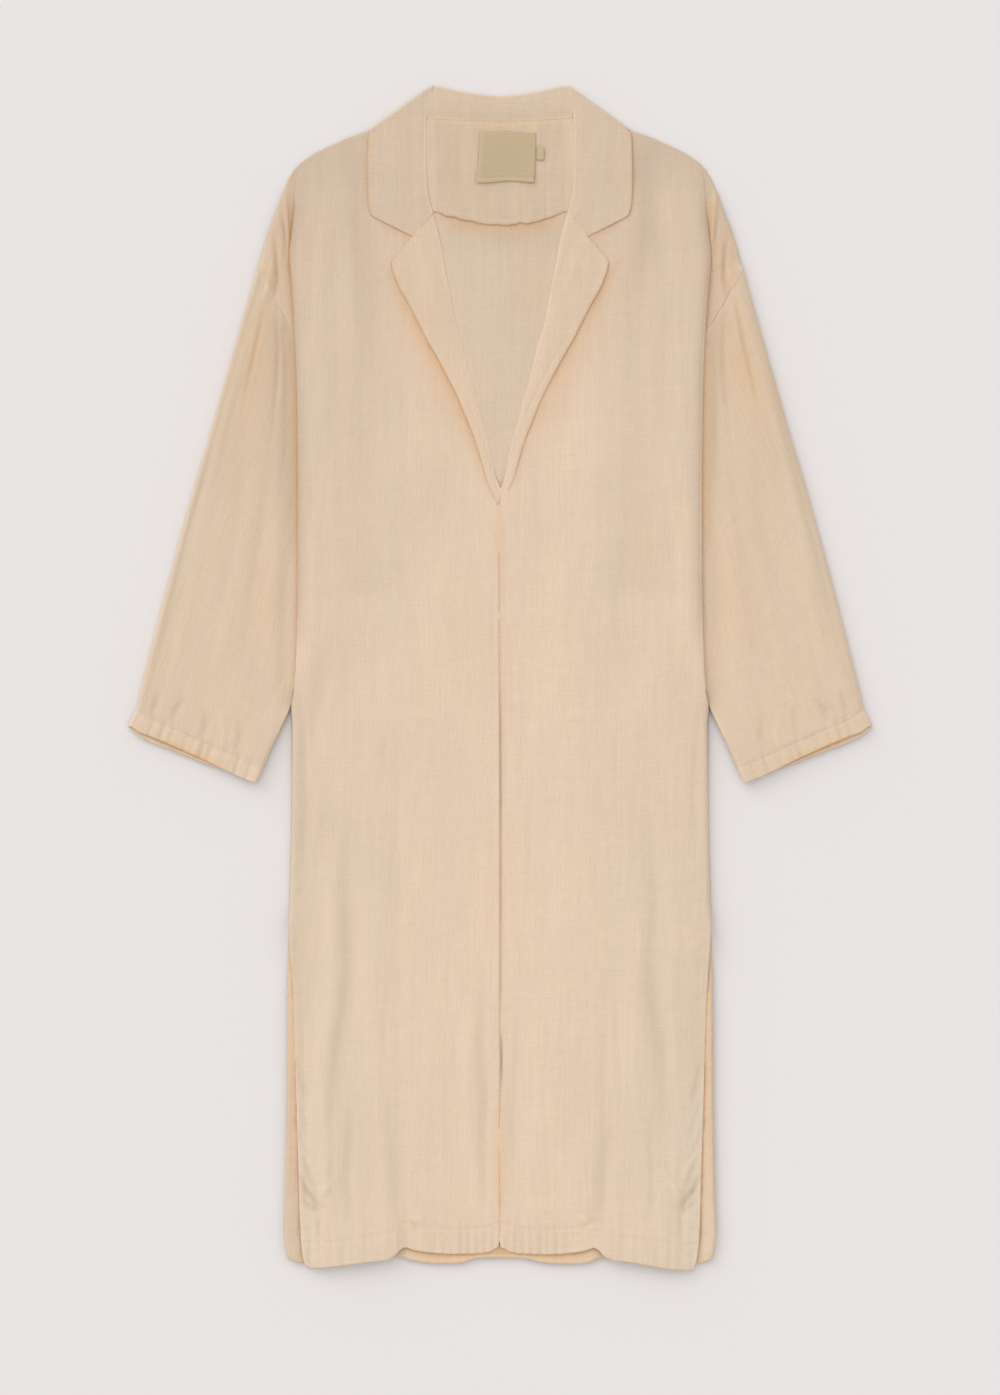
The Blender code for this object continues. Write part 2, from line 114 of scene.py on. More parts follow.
def creases(px, py, table):
    """Sum of soft ridges (height > 0) and troughs (< 0) along listed lines.

    A row: points in photograph pixels, width on the line's left, width on its right, height."""
    out = np.zeros_like(px)
    for pts, wl, wr, height in table:
        pts = np.array(pts, float)
        seg = np.diff(pts, axis=0)
        size = np.hypot(seg[:, 0], seg[:, 1])
        total = size.sum()
        best = np.full(px.shape, 1e9)
        where = np.zeros_like(px)
        hand = np.ones_like(px)
        run = 0.0
        for k in range(len(seg)):
            rx, ry = px - pts[k, 0], py - pts[k, 1]
            t = np.clip((rx * seg[k, 0] + ry * seg[k, 1]) / size[k] ** 2, 0.0, 1.0)
            qx, qy = rx - t * seg[k, 0], ry - t * seg[k, 1]
            dist = np.hypot(qx, qy)
            near = dist < best
            best = np.where(near, dist, best)
            where = np.where(near, (run + t * size[k]) / total, where)
            cross = seg[k, 0] * ry - seg[k, 1] * rx
            hand = np.where(near, np.sign(cross), hand)
            run += size[k]
        width = np.where(hand < 0, wl, wr)
        ends = np.sin(np.pi * np.clip(where, 0.015, 0.985)) ** 0.7
        out += height * ends * np.exp(-(best / width) ** 2)
    return out


RELIEF = 1.5                 # depth of the creases placed below


def shade(relief, low=0.90, high=1.05):
    """Colour factor of creases: less light reaches a trough, a ridge catches more."""
    return np.clip(1.0 + 0.020 * relief, low, high)[..., None]


def sharp(table):
    """The narrow creases of a table."""
    return [row for row in table if row[1] < 5.0]


def warm_painted_shade(px, py, table):
    """Colour factor of painted warm shade: light that has gone through and between cloth turns warmer in creases, gaps
    and under edges.
    """
    w = np.clip(creases(px, py, table), 0.0, 1.0)[..., None]
    return 1.0 - w * np.array([0.02, 0.17, 0.34])


def dark(px, py, table):
    """Colour factor of a place that stays in deep shade."""
    w = np.clip(creases(px, py, table), 0.0, 1.0)[..., None]
    return 1.0 - w * np.array([0.42, 0.58, 0.70])


def mirrored(table):
    return [([(1000.0 - x, y) for x, y in pts], wr, wl, h) for pts, wl, wr, h in table]


# ------------------------------------------------------------- mesh making
def shell(name, P, wall, grain, tone, ring=False, valid=None, mottle=1.0, crisp=None):
    """Closed cloth shell on a grid of middle-surface points P[row, column] (mm)."""
    R, C = P.shape[:2]
    nc = C if ring else C - 1
    if valid is None:
        valid = np.ones((R - 1, nc), bool)
    nxt = (np.arange(nc) + 1) % C
    cur = np.arange(nc)
    ia = (np.arange(R - 1)[:, None] * C + cur[None, :])
    ib = (np.arange(1, R)[:, None] * C + cur[None, :])
    ic = (np.arange(1, R)[:, None] * C + nxt[None, :])
    idd = (np.arange(R - 1)[:, None] * C + nxt[None, :])
    flat = P.reshape(-1, 3)
    q = np.stack([ia[valid], ib[valid], ic[valid], idd[valid]], 1)
    n = np.zeros_like(flat)
    fn = np.cross(flat[q[:, 2]] - flat[q[:, 0]], flat[q[:, 3]] - flat[q[:, 1]])
    ln = np.linalg.norm(fn, axis=1, keepdims=True)
    fn = fn / np.maximum(ln, 1e-9)
    for k in range(4):
        np.add.at(n, q[:, k], fn)
    n /= np.maximum(np.linalg.norm(n, axis=1, keepdims=True), 1e-9)
    used = np.zeros(len(flat), bool)
    used[q.ravel()] = True
    index = np.cumsum(used) - 1
    count = int(used.sum())
    w = wall if np.ndim(wall) == 0 else np.asarray(wall).reshape(-1)[used][:, None]
    top = flat[used] + n[used] * (w * 0.5)
    low = flat[used] - n[used] * (w * 0.5)
    verts = np.concatenate([top, low])
    q = index[q]
    # outline: directed edges used once
    edges = np.concatenate([q[:, [0, 1]], q[:, [1, 2]], q[:, [2, 3]], q[:, [3, 0]]])
    key = edges[:, 0].astype(np.int64) * count + edges[:, 1]
    rev = edges[:, 1].astype(np.int64) * count + edges[:, 0]
    rim = edges[~np.isin(key, rev)]
    faces = np.concatenate([q, q[:, ::-1] + count,
                            np.stack([rim[:, 1], rim[:, 0], rim[:, 0] + count, rim[:, 1] + count], 1)])
    xyz = np.empty_like(verts)
    xyz[:, 0] = verts[:, 0] * MM
    xyz[:, 1] = (TOP - verts[:, 1]) * MM
    xyz[:, 2] = verts[:, 2] * MM
    # d grows downwards, so the winding is turned by the change of sign: check and turn faces out
    me = bpy.data.meshes.new(name)
    me.vertices.add(len(xyz))
    me.vertices.foreach_set("co", xyz.astype(np.float32).ravel())
    me.loops.add(faces.size)
    me.polygons.add(len(faces))
    v0, v1, v2, v3 = (xyz[faces[:, k]] for k in range(4))
    vol = (np.einsum("ij,ij->i", v0, np.cross(v1, v2)) + np.einsum("ij,ij->i", v0, np.cross(v2, v3))).sum()
    if vol < 0:
        faces = faces[:, ::-1]
    me.loops.foreach_set("vertex_index", np.ascontiguousarray(faces).astype(np.int32).ravel())
    me.polygons.foreach_set("loop_start", np.arange(0, faces.size, 4, dtype=np.int32))
    me.polygons.foreach_set("use_smooth", np.ones(len(faces), bool))
    me.update(calc_edges=True)
    me.validate()
    if crisp is not None:                     # sewn-down borders are not shaded round
        on_rim = np.zeros(count, bool)
        on_rim[rim.ravel()] = True
        mark = on_rim & np.asarray(crisp, bool).reshape(-1)[used]
        mark = np.concatenate([mark, mark])
        ends = np.empty(2 * len(me.edges), np.int32)
        me.edges.foreach_get("vertices", ends)
        ends = ends.reshape(-1, 2)
        same = (ends[:, 0] < count) == (ends[:, 1] < count)
        me.edges.foreach_set("use_edge_sharp", mark[ends].all(1) & same)
    g = np.asarray(grain, float).reshape(-1, 2)[used] * MM
    g3 = np.zeros((len(xyz), 3), np.float32)
    g3[:count, :2], g3[count:, :2] = g, g
    g3[count:, 2] = 0.37
    at = me.attributes.new("grain", "FLOAT_VECTOR", "POINT")
    at.data.foreach_set("vector", g3.ravel())
    t = np.asarray(tone, float)
    if t.ndim == 0:
        t = np.full((R, C), float(t))
    if t.ndim == 2:
        t = np.repeat(t[:, :, None], 3, 2)
    t = t.reshape(-1, 3)[used]
    if mottle:
        gx, gy = g[:, 0] / MM, g[:, 1] / MM
        c = 0.55 * noise(gx / 15.0, gy / 70.0, 97) + 0.45 * noise(gx / 6.0, gy / 30.0, 98) + 0.35 * noise(gx / 45.0, gy / 120.0, 99)
        t = t * (1.0 + mottle * c[:, None] * np.array([0.013, 0.0, -0.017]))
    col = np.ones((len(xyz), 4), np.float32)
    col[:count, :3], col[count:, :3] = t, t
    at = me.attributes.new("tone", "FLOAT_COLOR", "POINT")
    at.data.foreach_set("color", col.ravel())
    ob = bpy.data.objects.new(name, me)
    bpy.context.scene.collection.objects.link(ob)
    return ob


# ------------------------------------------------------------ coat geometry
# Front sections: d_side, d_in, a_in, a_side, a_valley, a_cap   (see the part's own sections)
FRONT = [
    (81.0, 31.0, 95.0, 203.0, 203.0, 206.8),
    (100.0, 55.0, 95.0, 204.5, 202.0, 214.0),
    (120.0, 80.0, 94.0, 205.0, 198.0, 221.0),
    (145.0, 105.0, 92.0, 207.5, 193.0, 230.5),
    (173.0, 129.0, 74.0, 210.4, 187.0, 239.3),
    (183.5, 160.0, 66.0, 209.6, 185.0, 241.8),
    (215.0, 212.0, 56.0, 207.0, 181.0, 225.0),
    (240.0, 240.0, 51.0, 205.3, 176.0, 210.8),
    (285.0, 285.0, 38.5, 203.0, 163.0, 186.0),
    (335.0, 335.0, 25.0, 202.0, 148.0, 158.0),
    (381.0, 381.0, 13.0, 201.5, 128.0, 132.7),
    (420.0, 420.0, 0.4, 201.3, 133.0, 133.0),
    (475.0, 475.0, 1.3, 201.4, 154.0, 154.0),
    (535.0, 535.0, 1.3, 202.0, 178.0, 178.0),
    (580.0, 580.0, 1.2, 203.5, 195.0, 195.0),
    (605.0, 605.0, 1.2, 205.0, 200.5, 200.5),
    (622.0, 622.0, 1.1, 208.0, 203.5, 203.5),
    (655.0, 655.0, 1.0, 208.2, 208.0, 208.0),
    (735.0, 735.0, 0.8, 208.6, 208.0, 208.0),
    (830.0, 830.0, 0.5, 210.8, 208.0, 208.0),
    (915.0, 915.0, 0.6, 206.5, 206.0, 206.0),
    (1005.0, 1005.0, 1.2, 203.8, 202.0, 202.0),
    (1091.0, 1091.0, 0.6, 201.2, 199.0, 199.0),
    (1140.0, 1140.0, 0.9, 199.6, 197.0, 197.0),
    (1168.0, 1168.0, 1.3, 197.6, 195.0, 195.0),
    (1180.0, 1180.0, 1.5, 195.2, 193.5, 193.5),
    (1185.0, 1185.0, 1.6, 192.6, 192.0, 192.0),
]
F_DIN = Curve([(r[0], r[1]) for r in FRONT])
F_AIN = Curve([(r[0], r[2]) for r in FRONT])
F_SIDE = Curve([(r[0], r[3]) for r in FRONT])
F_VALLEY = Curve([(r[0], r[4]) for r in FRONT])
F_CAP = Curve([(r[0], r[5]) for r in FRONT])
INNER = line([(r[1], r[2]) for r in FRONT])
VALLEY = line([(r[0], r[4]) for r in FRONT[:16]])
STACK = Curve([(81.0, 0.0), (100.0, 0.30), (125.0, 0.82), (150.0, 1.0), (570.0, 1.0), (605.0, 0.62), (640.0, 0.10), (665.0, 0.0)])
BULGE = Curve([(0.0, 0.0), (0.34, -2.0), (0.58, -4.9), (0.78, -5.0), (0.935, -2.8), (1.0, 0.0)])
FRONT_HEM = {
    -1.0: Curve([(-1.0, 1161.0), (3.0, 1162.0), (8.0, 1165.5), (20.0, 1168.0), (45.0, 1168.6), (70.0, 1167.0),
                 (88.0, 1164.0), (94.0, 1161.8), (98.0, 1162.5), (104.0, 1168.5), (111.0, 1173.2),
                 (130.0, 1176.0), (150.0, 1178.6), (175.0, 1181.8), (187.0, 1182.8), (192.0, 1182.0)]),
    1.0: Curve([(-1.0, 1161.5), (3.0, 1162.5), (9.0, 1166.0), (22.0, 1168.4), (48.0, 1169.0), (72.0, 1167.4),
                (87.0, 1164.6), (93.0, 1162.4), (97.5, 1163.2), (103.0, 1169.0), (110.0, 1173.5),
                (131.0, 1176.5), (152.0, 1180.2), (174.0, 1184.0), (187.0, 1185.0), (192.0, 1184.0)]),
}
# the viewer's left front edge lies on the right one, which shows beside it only here and there
FRONT_EDGE = {
    -1.0: Curve([(415.0, 0.8), (421.0, -0.3), (440.0, -0.2), (480.0, 0.7), (600.0, 0.5), (800.0, 0.1), (950.0, 0.2),
                 (1010.0, 0.1), (1060.0, 0.3), (1140.0, 0.2), (1172.0, 0.5), (1185.0, 1.6)]),
    1.0: Curve([(415.0, 0.8), (421.0, -0.8), (432.0, -1.8), (480.0, -2.2), (600.0, -2.2), (800.0, -2.2), (930.0, -2.0),
                (1015.0, -1.8), (1060.0, -1.8), (1140.0, -1.6), (1172.0, -0.9), (1185.0, 0.9)]),
}
BACK_HEM = Curve([(-214.0, 1171.0), (-208.0, 1175.5), (-199.0, 1178.0), (-150.0, 1176.0), (-98.0, 1172.0), (-92.0, 1174.4),
                  (-60.0, 1178.5), (-36.0, 1177.6), (-28.0, 1174.2), (-18.0, 1172.9), (0.0, 1172.5), (18.0, 1172.9),
                  (28.0, 1174.0), (38.0, 1177.0), (62.0, 1179.0), (84.0, 1178.4), (92.0, 1176.0), (98.0, 1173.4), (150.0, 1176.0),
                  (199.0, 1178.0), (208.0, 1175.5), (214.0, 1171.0)])
BACK_SIDE = Curve([(600.0, 204.0), (622.0, 206.6), (655.0, 207.8), (735.0, 208.8), (830.0, 211.2), (915.0, 212.4),
                   (1005.0, 213.0), (1091.0, 214.2), (1150.0, 215.8), (1169.0, 214.2), (1180.0, 213.0)])

# Creases of the fronts, placed on the viewer's left half: points, width left, width right, height
FRONT_CREASES = {
    -1.0: [
        ([(350, 815), (345, 890), (349, 965), (345, 1010), (338, 1045), (334, 1092), (331, 1126), (327, 1160)], 9.0, 5.5, -1.7),
        ([(331, 850), (329, 930), (330, 1000), (322, 1060), (318, 1110)], 8, 8, 0.9),
        ([(372, 860), (366, 1000), (376, 1120)], 16, 20, 0.9),
        ([(403, 640), (398, 800), (400, 960), (396, 1100), (392, 1200)], 5, 7, -0.35),
        ([(487, 985), (482, 1040), (486, 1100), (484, 1150), (488, 1218)], 5, 6, -1.6),
        ([(470, 990), (466, 1090), (472, 1190)], 9, 9, 0.8),
        ([(298, 1096), (304, 1116), (311, 1136)], 2.4, 3.4, -0.6),
        ([(299, 1128), (304, 1146), (310, 1160)], 2.2, 3.2, -0.6),
        ([(303, 1156), (308, 1166), (312, 1180), (318, 1188)], 1.8, 2.6, -1.2),
        ([(305, 1178), (311, 1183), (316, 1192), (323, 1196)], 1.8, 2.4, -0.8),
        ([(309, 1190), (316, 1195), (321, 1205), (329, 1208)], 1.8, 2.2, -0.8),
        ([(318, 1199), (324, 1191), (330, 1180)], 1.8, 2.4, 1.3),
        ([(334, 1158), (329, 1180), (333, 1200)], 2.2, 2.8, -0.7),
        ([(386, 985), (383, 1040), (380, 1095)], 1.6, 2.0, -0.6),
        ([(300, 1176), (308, 1192), (315, 1200), (322, 1214)], 2.0, 3.0, -2.1),
        ([(303, 1145), (309, 1164), (317, 1180)], 2.4, 2.4, 0.6),
        ([(297, 1058), (304, 1085), (309, 1106)], 3.0, 4.0, -1.0),
        ([(303, 1197), (310, 1207), (319, 1211)], 2.0, 2.6, -1.4),
        ([(313, 1198), (320, 1222), (318, 1240)], 2.6, 3.4, -0.9),
        ([(330, 1120), (326, 1160), (332, 1210)], 5.0, 6.0, 0.7),
        ([(352, 1112), (351, 1135), (348, 1180), (352, 1230)], 3.0, 6.0, -1.1),
        ([(405, 1236), (408, 1226), (414, 1219), (424, 1215)], 1.8, 2.4, 0.7),
        ([(409, 1219), (413, 1222), (418, 1229), (421, 1227)], 1.6, 2.0, -0.8),
        ([(398, 1250), (399, 1230), (396, 1190), (392, 1120)], 5, 8, -1.3),
        ([(384, 1258), (385, 1225), (381, 1160)], 6, 8, 0.7),
        ([(376, 215), (368, 300), (364, 380), (366, 470), (372, 560)], 13, 16, -0.5),
        ([(338, 210), (332, 290), (338, 380), (334, 470)], 7, 10, -0.9),
        ([(352, 200), (350, 280), (357, 360)], 6, 7, 0.8),
        ([(318, 190), (312, 260), (316, 350)], 6, 8, -0.8),
        ([(420, 330), (446, 420), (470, 500), (484, 560)], 14, 18, -0.3),
        ([(440, 560), (436, 640), (446, 720)], 18, 20, 0.8),
        ([(318, 480), (313, 560), (312, 640), (302, 700)], 9, 12, 0.9),
        ([(330, 620), (322, 690), (312, 740), (300, 775)], 8, 8, -0.8),
        ([(300, 690), (304, 740), (306, 800), (303, 880)], 4, 6, -1.0),
        ([(408, 715), (428, 716), (446, 722)], 4, 4, 0.5),
        ([(378, 728), (384, 735), (384, 790)], 4, 6, -0.5),
    ],
}
FRONT_CREASES[1.0] = [(pts, wl, wr, h * (0.40 if i in (4, 5) else 0.80 + 0.1 * ((5 * i) % 4))) for i, (pts, wl, wr, h)
                      in enumerate(mirrored(FRONT_CREASES[-1.0]))]
# stitched-down pleats of the hem, unevenly spaced
for x, h in ((310, .4), (320, .5), (331, .35), (344, .5), (352, .4), (366, .5), (379, .4), (391, .5), (433, .8),
             (444, .9), (451, .6), (461, .9), (469, .8), (478, .9), (486, .7), (493, .5)):
    for side, px in ((-1.0, x), (1.0, 1001.0 - x + 0.6 * math.sin(x))):
        top = 1222.0 + 5.0 * math.sin(x * 1.7)
        FRONT_CREASES[side].append(([(px + 1.5 * math.sin(x), top), (px, 1240.0), (px - 0.5, 1284.0)], 1.7, 2.2, -h))

# Places of painted warm shade, under edges, in gaps and along folds: points, width left, width right, strength
FRONT_WARM = [
    ([(376, 219), (392, 227), (412, 236), (408, 246), (398, 258)], 5.0, 5.0, 0.75),
    ([(384, 262), (399, 290), (414, 318), (432, 350), (452, 388), (470, 430), (484, 474), (492, 496)], 5.0, 7.0, 0.78),
    ([(390, 262), (406, 312), (424, 360), (446, 410), (462, 440)], 15.0, 13.0, 0.34),
    ([(367, 135), (366, 170), (367, 205), (376, 221)], 4.0, 4.0, 0.35),
    ([(500, 505), (500, 620), (500.5, 760), (500.5, 1000), (501, 1110), (500.5, 1240)], 1.6, 1.6, 0.3),
    ([(498, 500), (499, 580), (500, 700), (500, 780)], 2.0, 2.0, 0.25),
    ([(296, 186), (291, 250), (294, 330), (298, 420), (298, 620)], 2.5, 4.0, 0.4),
    ([(500, 498), (500, 530), (499, 580)], 5.0, 6.0, 0.3),
    ([(496, 1090), (495, 1150), (497, 1220)], 7.0, 7.0, 0.22),
    ([(499.6, 1070), (499, 1150), (499, 1246)], 1.8, 1.8, 0.5),
]
FRONT_WARM_LEFT = [(pts, wl, wr, h * (0.6 if i == 1 else 1.0)) for i, (pts, wl, wr, h) in enumerate(mirrored(FRONT_WARM))]
FRONT_WARM_LEFT.append(([(622, 258), (604, 284), (590, 312)], 5.0, 6.0, 0.45))
# painted deep shade in the gap at the lower centre front
FRONT_DARK = [
    ([(500.8, 1030), (501.4, 1058), (501.0, 1088)], 1.0, 0.9, 1.0),
    ([(500.4, 700), (500.6, 800), (500.8, 900), (501.0, 960), (500.8, 1032)], 0.9, 0.8, 0.48),
]
# painted warm shade along the fold edge and creases of the shoulder cap
CAP_WARM = [
    ([(296.5, 176), (293.5, 215), (289.5, 248), (290.5, 270), (292.5, 300), (294.5, 334)], 2.4, 2.2, 1.0),
    ([(285, 196), (288, 220), (288.5, 244)], 3.0, 3.0, 0.55),
    ([(274, 236), (276.5, 262), (277, 284), (274, 298)], 1.8, 2.0, 0.65),
    ([(268, 262), (270, 282), (267, 296)], 4.0, 4.0, 0.40),
    ([(285, 190), (281, 230), (278, 290), (284, 318)], 12.0, 12.0, 0.18),
]
CAP_WARM_LEFT = ([(1000.0 - x, y) for x, y in CAP_WARM[0][0]], 2.2, 2.4, 0.4)
# painted warm shade on the sleeves beside the fold, in creases and at the cuff's opening
SLEEVE_WARM = [
    ([(290, 310), (296, 390), (298, 460), (298, 560)], 7.0, 9.0, 0.75),
    ([(298, 430), (298, 560), (297, 650), (293, 698)], 3.0, 3.0, 0.5),
    ([(270, 288), (263, 314), (257.5, 342), (250, 376), (242, 410)], 1.8, 2.4, 0.55),
    ([(277, 304), (278, 345), (276, 390), (270, 440)], 1.8, 2.4, 0.45),
    ([(272, 300), (264, 360), (254, 420)], 11.0, 11.0, 0.22),
    ([(275, 480), (268, 580), (262, 660)], 16.0, 16.0, 0.22),
    ([(266, 290), (254, 360), (240, 440), (226, 520)], 22.0, 24.0, 0.20),
    ([(131, 728), (165, 742), (200, 757), (236, 772)], 4.0, 4.0, 0.75),
]


def hump(a, d):
    return np.clip((108.0 - d) / 28.0, 0, 1) * np.clip((160.0 - a) / 28.0, 0, 1)


def back_z(a, d):
    return Z_BACK + 1.0 * smooth(hump(a, d))


def hem_lift(dist, reach, height):
    """Cloth easing off the surface towards a free edge, dist mm away."""
    return height * (1.0 - smooth(dist / reach))


def front_z(a, d, side):
    """Height of a front's main layer, without its creases."""
    top = VALLEY(d) - 8.0
    stack = STACK(d)
    rise = smooth((a - top + 80.0) / 80.0) * stack
    z = Z_BACK + PITCH + 1.2 * smooth(hump(a, d)) + 4.0 * PITCH * rise
    z = z + LOFT_SIDE * stack * smooth((a - 120.0) / 60.0) * smooth((d - 85.0) / 130.0)
    z = z + LOFT_SKIRT * smooth((d - 330.0) / 200.0) * (1.0 - 0.85 * stack * smooth((a - 90.0) / 60.0)) \
        * (0.62 + 0.38 * smooth((a - 20.0) / 60.0)) \
        * (1.0 - 0.80 * (1.0 - smooth((FRONT_HEM[side](a) - d) / 55.0)) * (1.0 - smooth((a - 92.0) / 14.0)))
    # free hem, slit and front edges stand a little off what is under them
    z = z + hem_lift(FRONT_HEM[side](a) - d, 60.0, 3.2 - 1.0 * smooth((a - 92.0) / 14.0))
    slit = smooth((d - 840.0) / 90.0)
    z = z - slit * hem_lift(F_SIDE(np.clip(d, 81.0, 1185.0)) - a, 34.0, 0.50 * LOFT_SKIRT)
    edge = smooth((d - 425.0) / 40.0)
    z = z + edge * smooth((d - 560.0) / 90.0) * (1.0 - 0.8 * smooth((d - 1000.0) / 50.0)) * (hem_lift(a, 12.0, 0.5) if side < 0 else hem_lift(a, 16.0, -0.6))
    return z


def crinkle(u, v, seed, amount=1.0):
    """Uneven crinkle of washed linen, mostly along the grain (v)."""
    return amount * (0.16 * noise(u / 9.0, v / 48.0, seed) + 0.10 * noise(u / 4.5, v / 22.0, seed + 3)
                     + 0.10 * noise(u / 30.0, v / 11.0, seed + 5) + 0.45 * noise(u / 60.0, v / 150.0, seed + 9))


def half_turn(z0, z1, steps):
    t = np.pi * np.arange(1, steps + 1) / steps
    return np.sin(t), (1.0 - np.cos(t)) / 2.0


def spaced(n, ends=0.35):
    """0..1 in n steps, closer together at both ends."""
    t = np.linspace(0.0, 1.0, n + 1)
    return t - ends * np.sin(2 * np.pi * t) / (2 * np.pi)


def tone_front(px, py):
    """Lighter where a second cloth lies behind: front facing, pocket bag and hems. Painted shade along the fold line
    and beside a skirt crease, painted light along the lower side edge by the slit and the lower centre front edge,
    darker patches at the shoulders, chest and skirt.
    """
    mx = np.where(px > 500.0, 1000.0 - px, px)
    wob = 2.5 * noise(py / 35.0, mx / 40.0, 21)
    facing = smooth((mx - 401.0 + wob + 10.0 * smooth((py - 640.0) / 120.0) * (1.0 - smooth((py - 1000.0) / 100.0))) / 9.0)
    pocket = smooth((py - 588.0 + 1.2 * wob) / 15.0) * (1.0 - smooth((py - 800.0 + wob) / 22.0)) \
        * (1.0 - 0.30 * smooth((py - 700.0) / 110.0))
    single = 0.966 + 0.026 * smooth((py - 640.0) / 420.0)
    f = single + (0.99 - single) * np.maximum(facing, 1.0 * pocket)
    f = f + 0.02 * smooth((py - 560.0) / 400.0) * facing
    f = f - 0.025 * (1.0 - smooth((py - 150.0) / 260.0)) * (1 - facing)
    f = f - 0.022 * np.exp(-((mx - 365.0 + 0.5 * wob) / 26.0) ** 2) * smooth((py - 110.0) / 60.0) * (1.0 - smooth((py - 582.0 + wob) / 16.0))
    # painted shade beside a skirt crease
    f = f - 0.022 * np.exp(-((mx - 343.0) / 9.0) ** 2) * smooth((py - 810.0) / 120.0) * (1.0 - smooth((py - 1100.0) / 80.0))
    # painted shade along the fold line, weaker on the cap side
    fold = mx - 500.0 + F_SIDE(np.clip(py - 85.0, 81.0, 1185.0))
    inner = np.where(fold < 0.0, 0.35, 1.0)
    f = f - 0.105 * inner * np.exp(-(fold / 6.0) ** 2) * smooth((py - 185.0) / 40.0) * (1.0 - smooth((py - 600.0) / 80.0))
    f = f - 0.065 * inner * np.exp(-(fold / 15.0) ** 2) * smooth((py - 150.0) / 30.0) * (1.0 - smooth((py - 610.0) / 60.0))
    f = f - 0.055 * np.exp(-((mx - 353.0) / 10.0) ** 2 - ((py - 215.0) / 55.0) ** 2)
    f = f - 0.025 * (1.0 - smooth((py - 190.0) / 90.0)) * (1.0 - smooth((mx - 345.0) / 40.0))
    f = f - 0.030 * np.exp(-((mx - 352.0) / 7.0) ** 2 - ((py - 985.0) / 60.0) ** 2)
    f = f - 0.028 * np.exp(-((px - 303.0) / 10.0) ** 2 - ((py - 960.0) / 110.0) ** 2)
    f = f - 0.080 * (1.0 - smooth((py - 128.0 - 0.2 * (395.0 - mx)) / 90.0)) * (1 - facing)
    # painted shade along the side edge lower down
    f = f - 0.045 * np.exp(-(fold / 10.0) ** 2) * smooth((py - 640.0) / 80.0)
    f = f - 0.075 * np.exp(-((px - 643.0) / 12.0) ** 2 - ((py - 235.0) / 65.0) ** 2)
    f = f - 0.028 * np.exp(-((mx - 370.0) / 13.0) ** 2 - ((py - 290.0) / 85.0) ** 2)
    f = f - 0.010 * np.exp(-((px - 630.0) / 20.0) ** 2 - ((py - 280.0) / 75.0) ** 2)
    f = f - 0.020 * np.exp(-((py - 232.0) / 30.0) ** 2) * (1 - facing)
    f = f - 0.018 * np.exp(-((px - 612.0) / 30.0) ** 2 - ((py - 390.0) / 80.0) ** 2)
    # painted light along the lower side edge by the slit and along the lower centre front edge
    f = f + 0.09 * np.exp(-(fold / 1.8) ** 2) * smooth((py - 880.0) / 60.0)
    f = f + 0.06 * np.exp(-((mx - 500.0) / 1.6) ** 2) * smooth((py - 1080.0) / 40.0)
    f = f + 0.012 * np.exp(-((px - 444.0) / 30.0) ** 2) * smooth((py - 560.0) / 200.0)
    f = f - 0.012 * smooth((mx - 470.0) / 25.0) * smooth((py - 930.0) / 90.0)
    f = f + 0.010 * noise(px / 55.0, py / 90.0, 4) + 0.008 * noise(px / 18.0, py / 60.0, 5)
    side_low = smooth((py - 780.0) / 120.0) * (1.0 - facing)
    edge_low = smooth((py - 1040.0) / 80.0) * (1.0 - smooth((mx - 305.0) / 30.0))
    edge_low = edge_low * np.where(px > 500.0, 1.0, 0.5)
    return f[..., None] * (1.0 - side_low[..., None] * np.array([0.018, 0.0, 0.0])) \
        * (1.0 + edge_low[..., None] * np.array([0.015, 0.05, 0.085]))


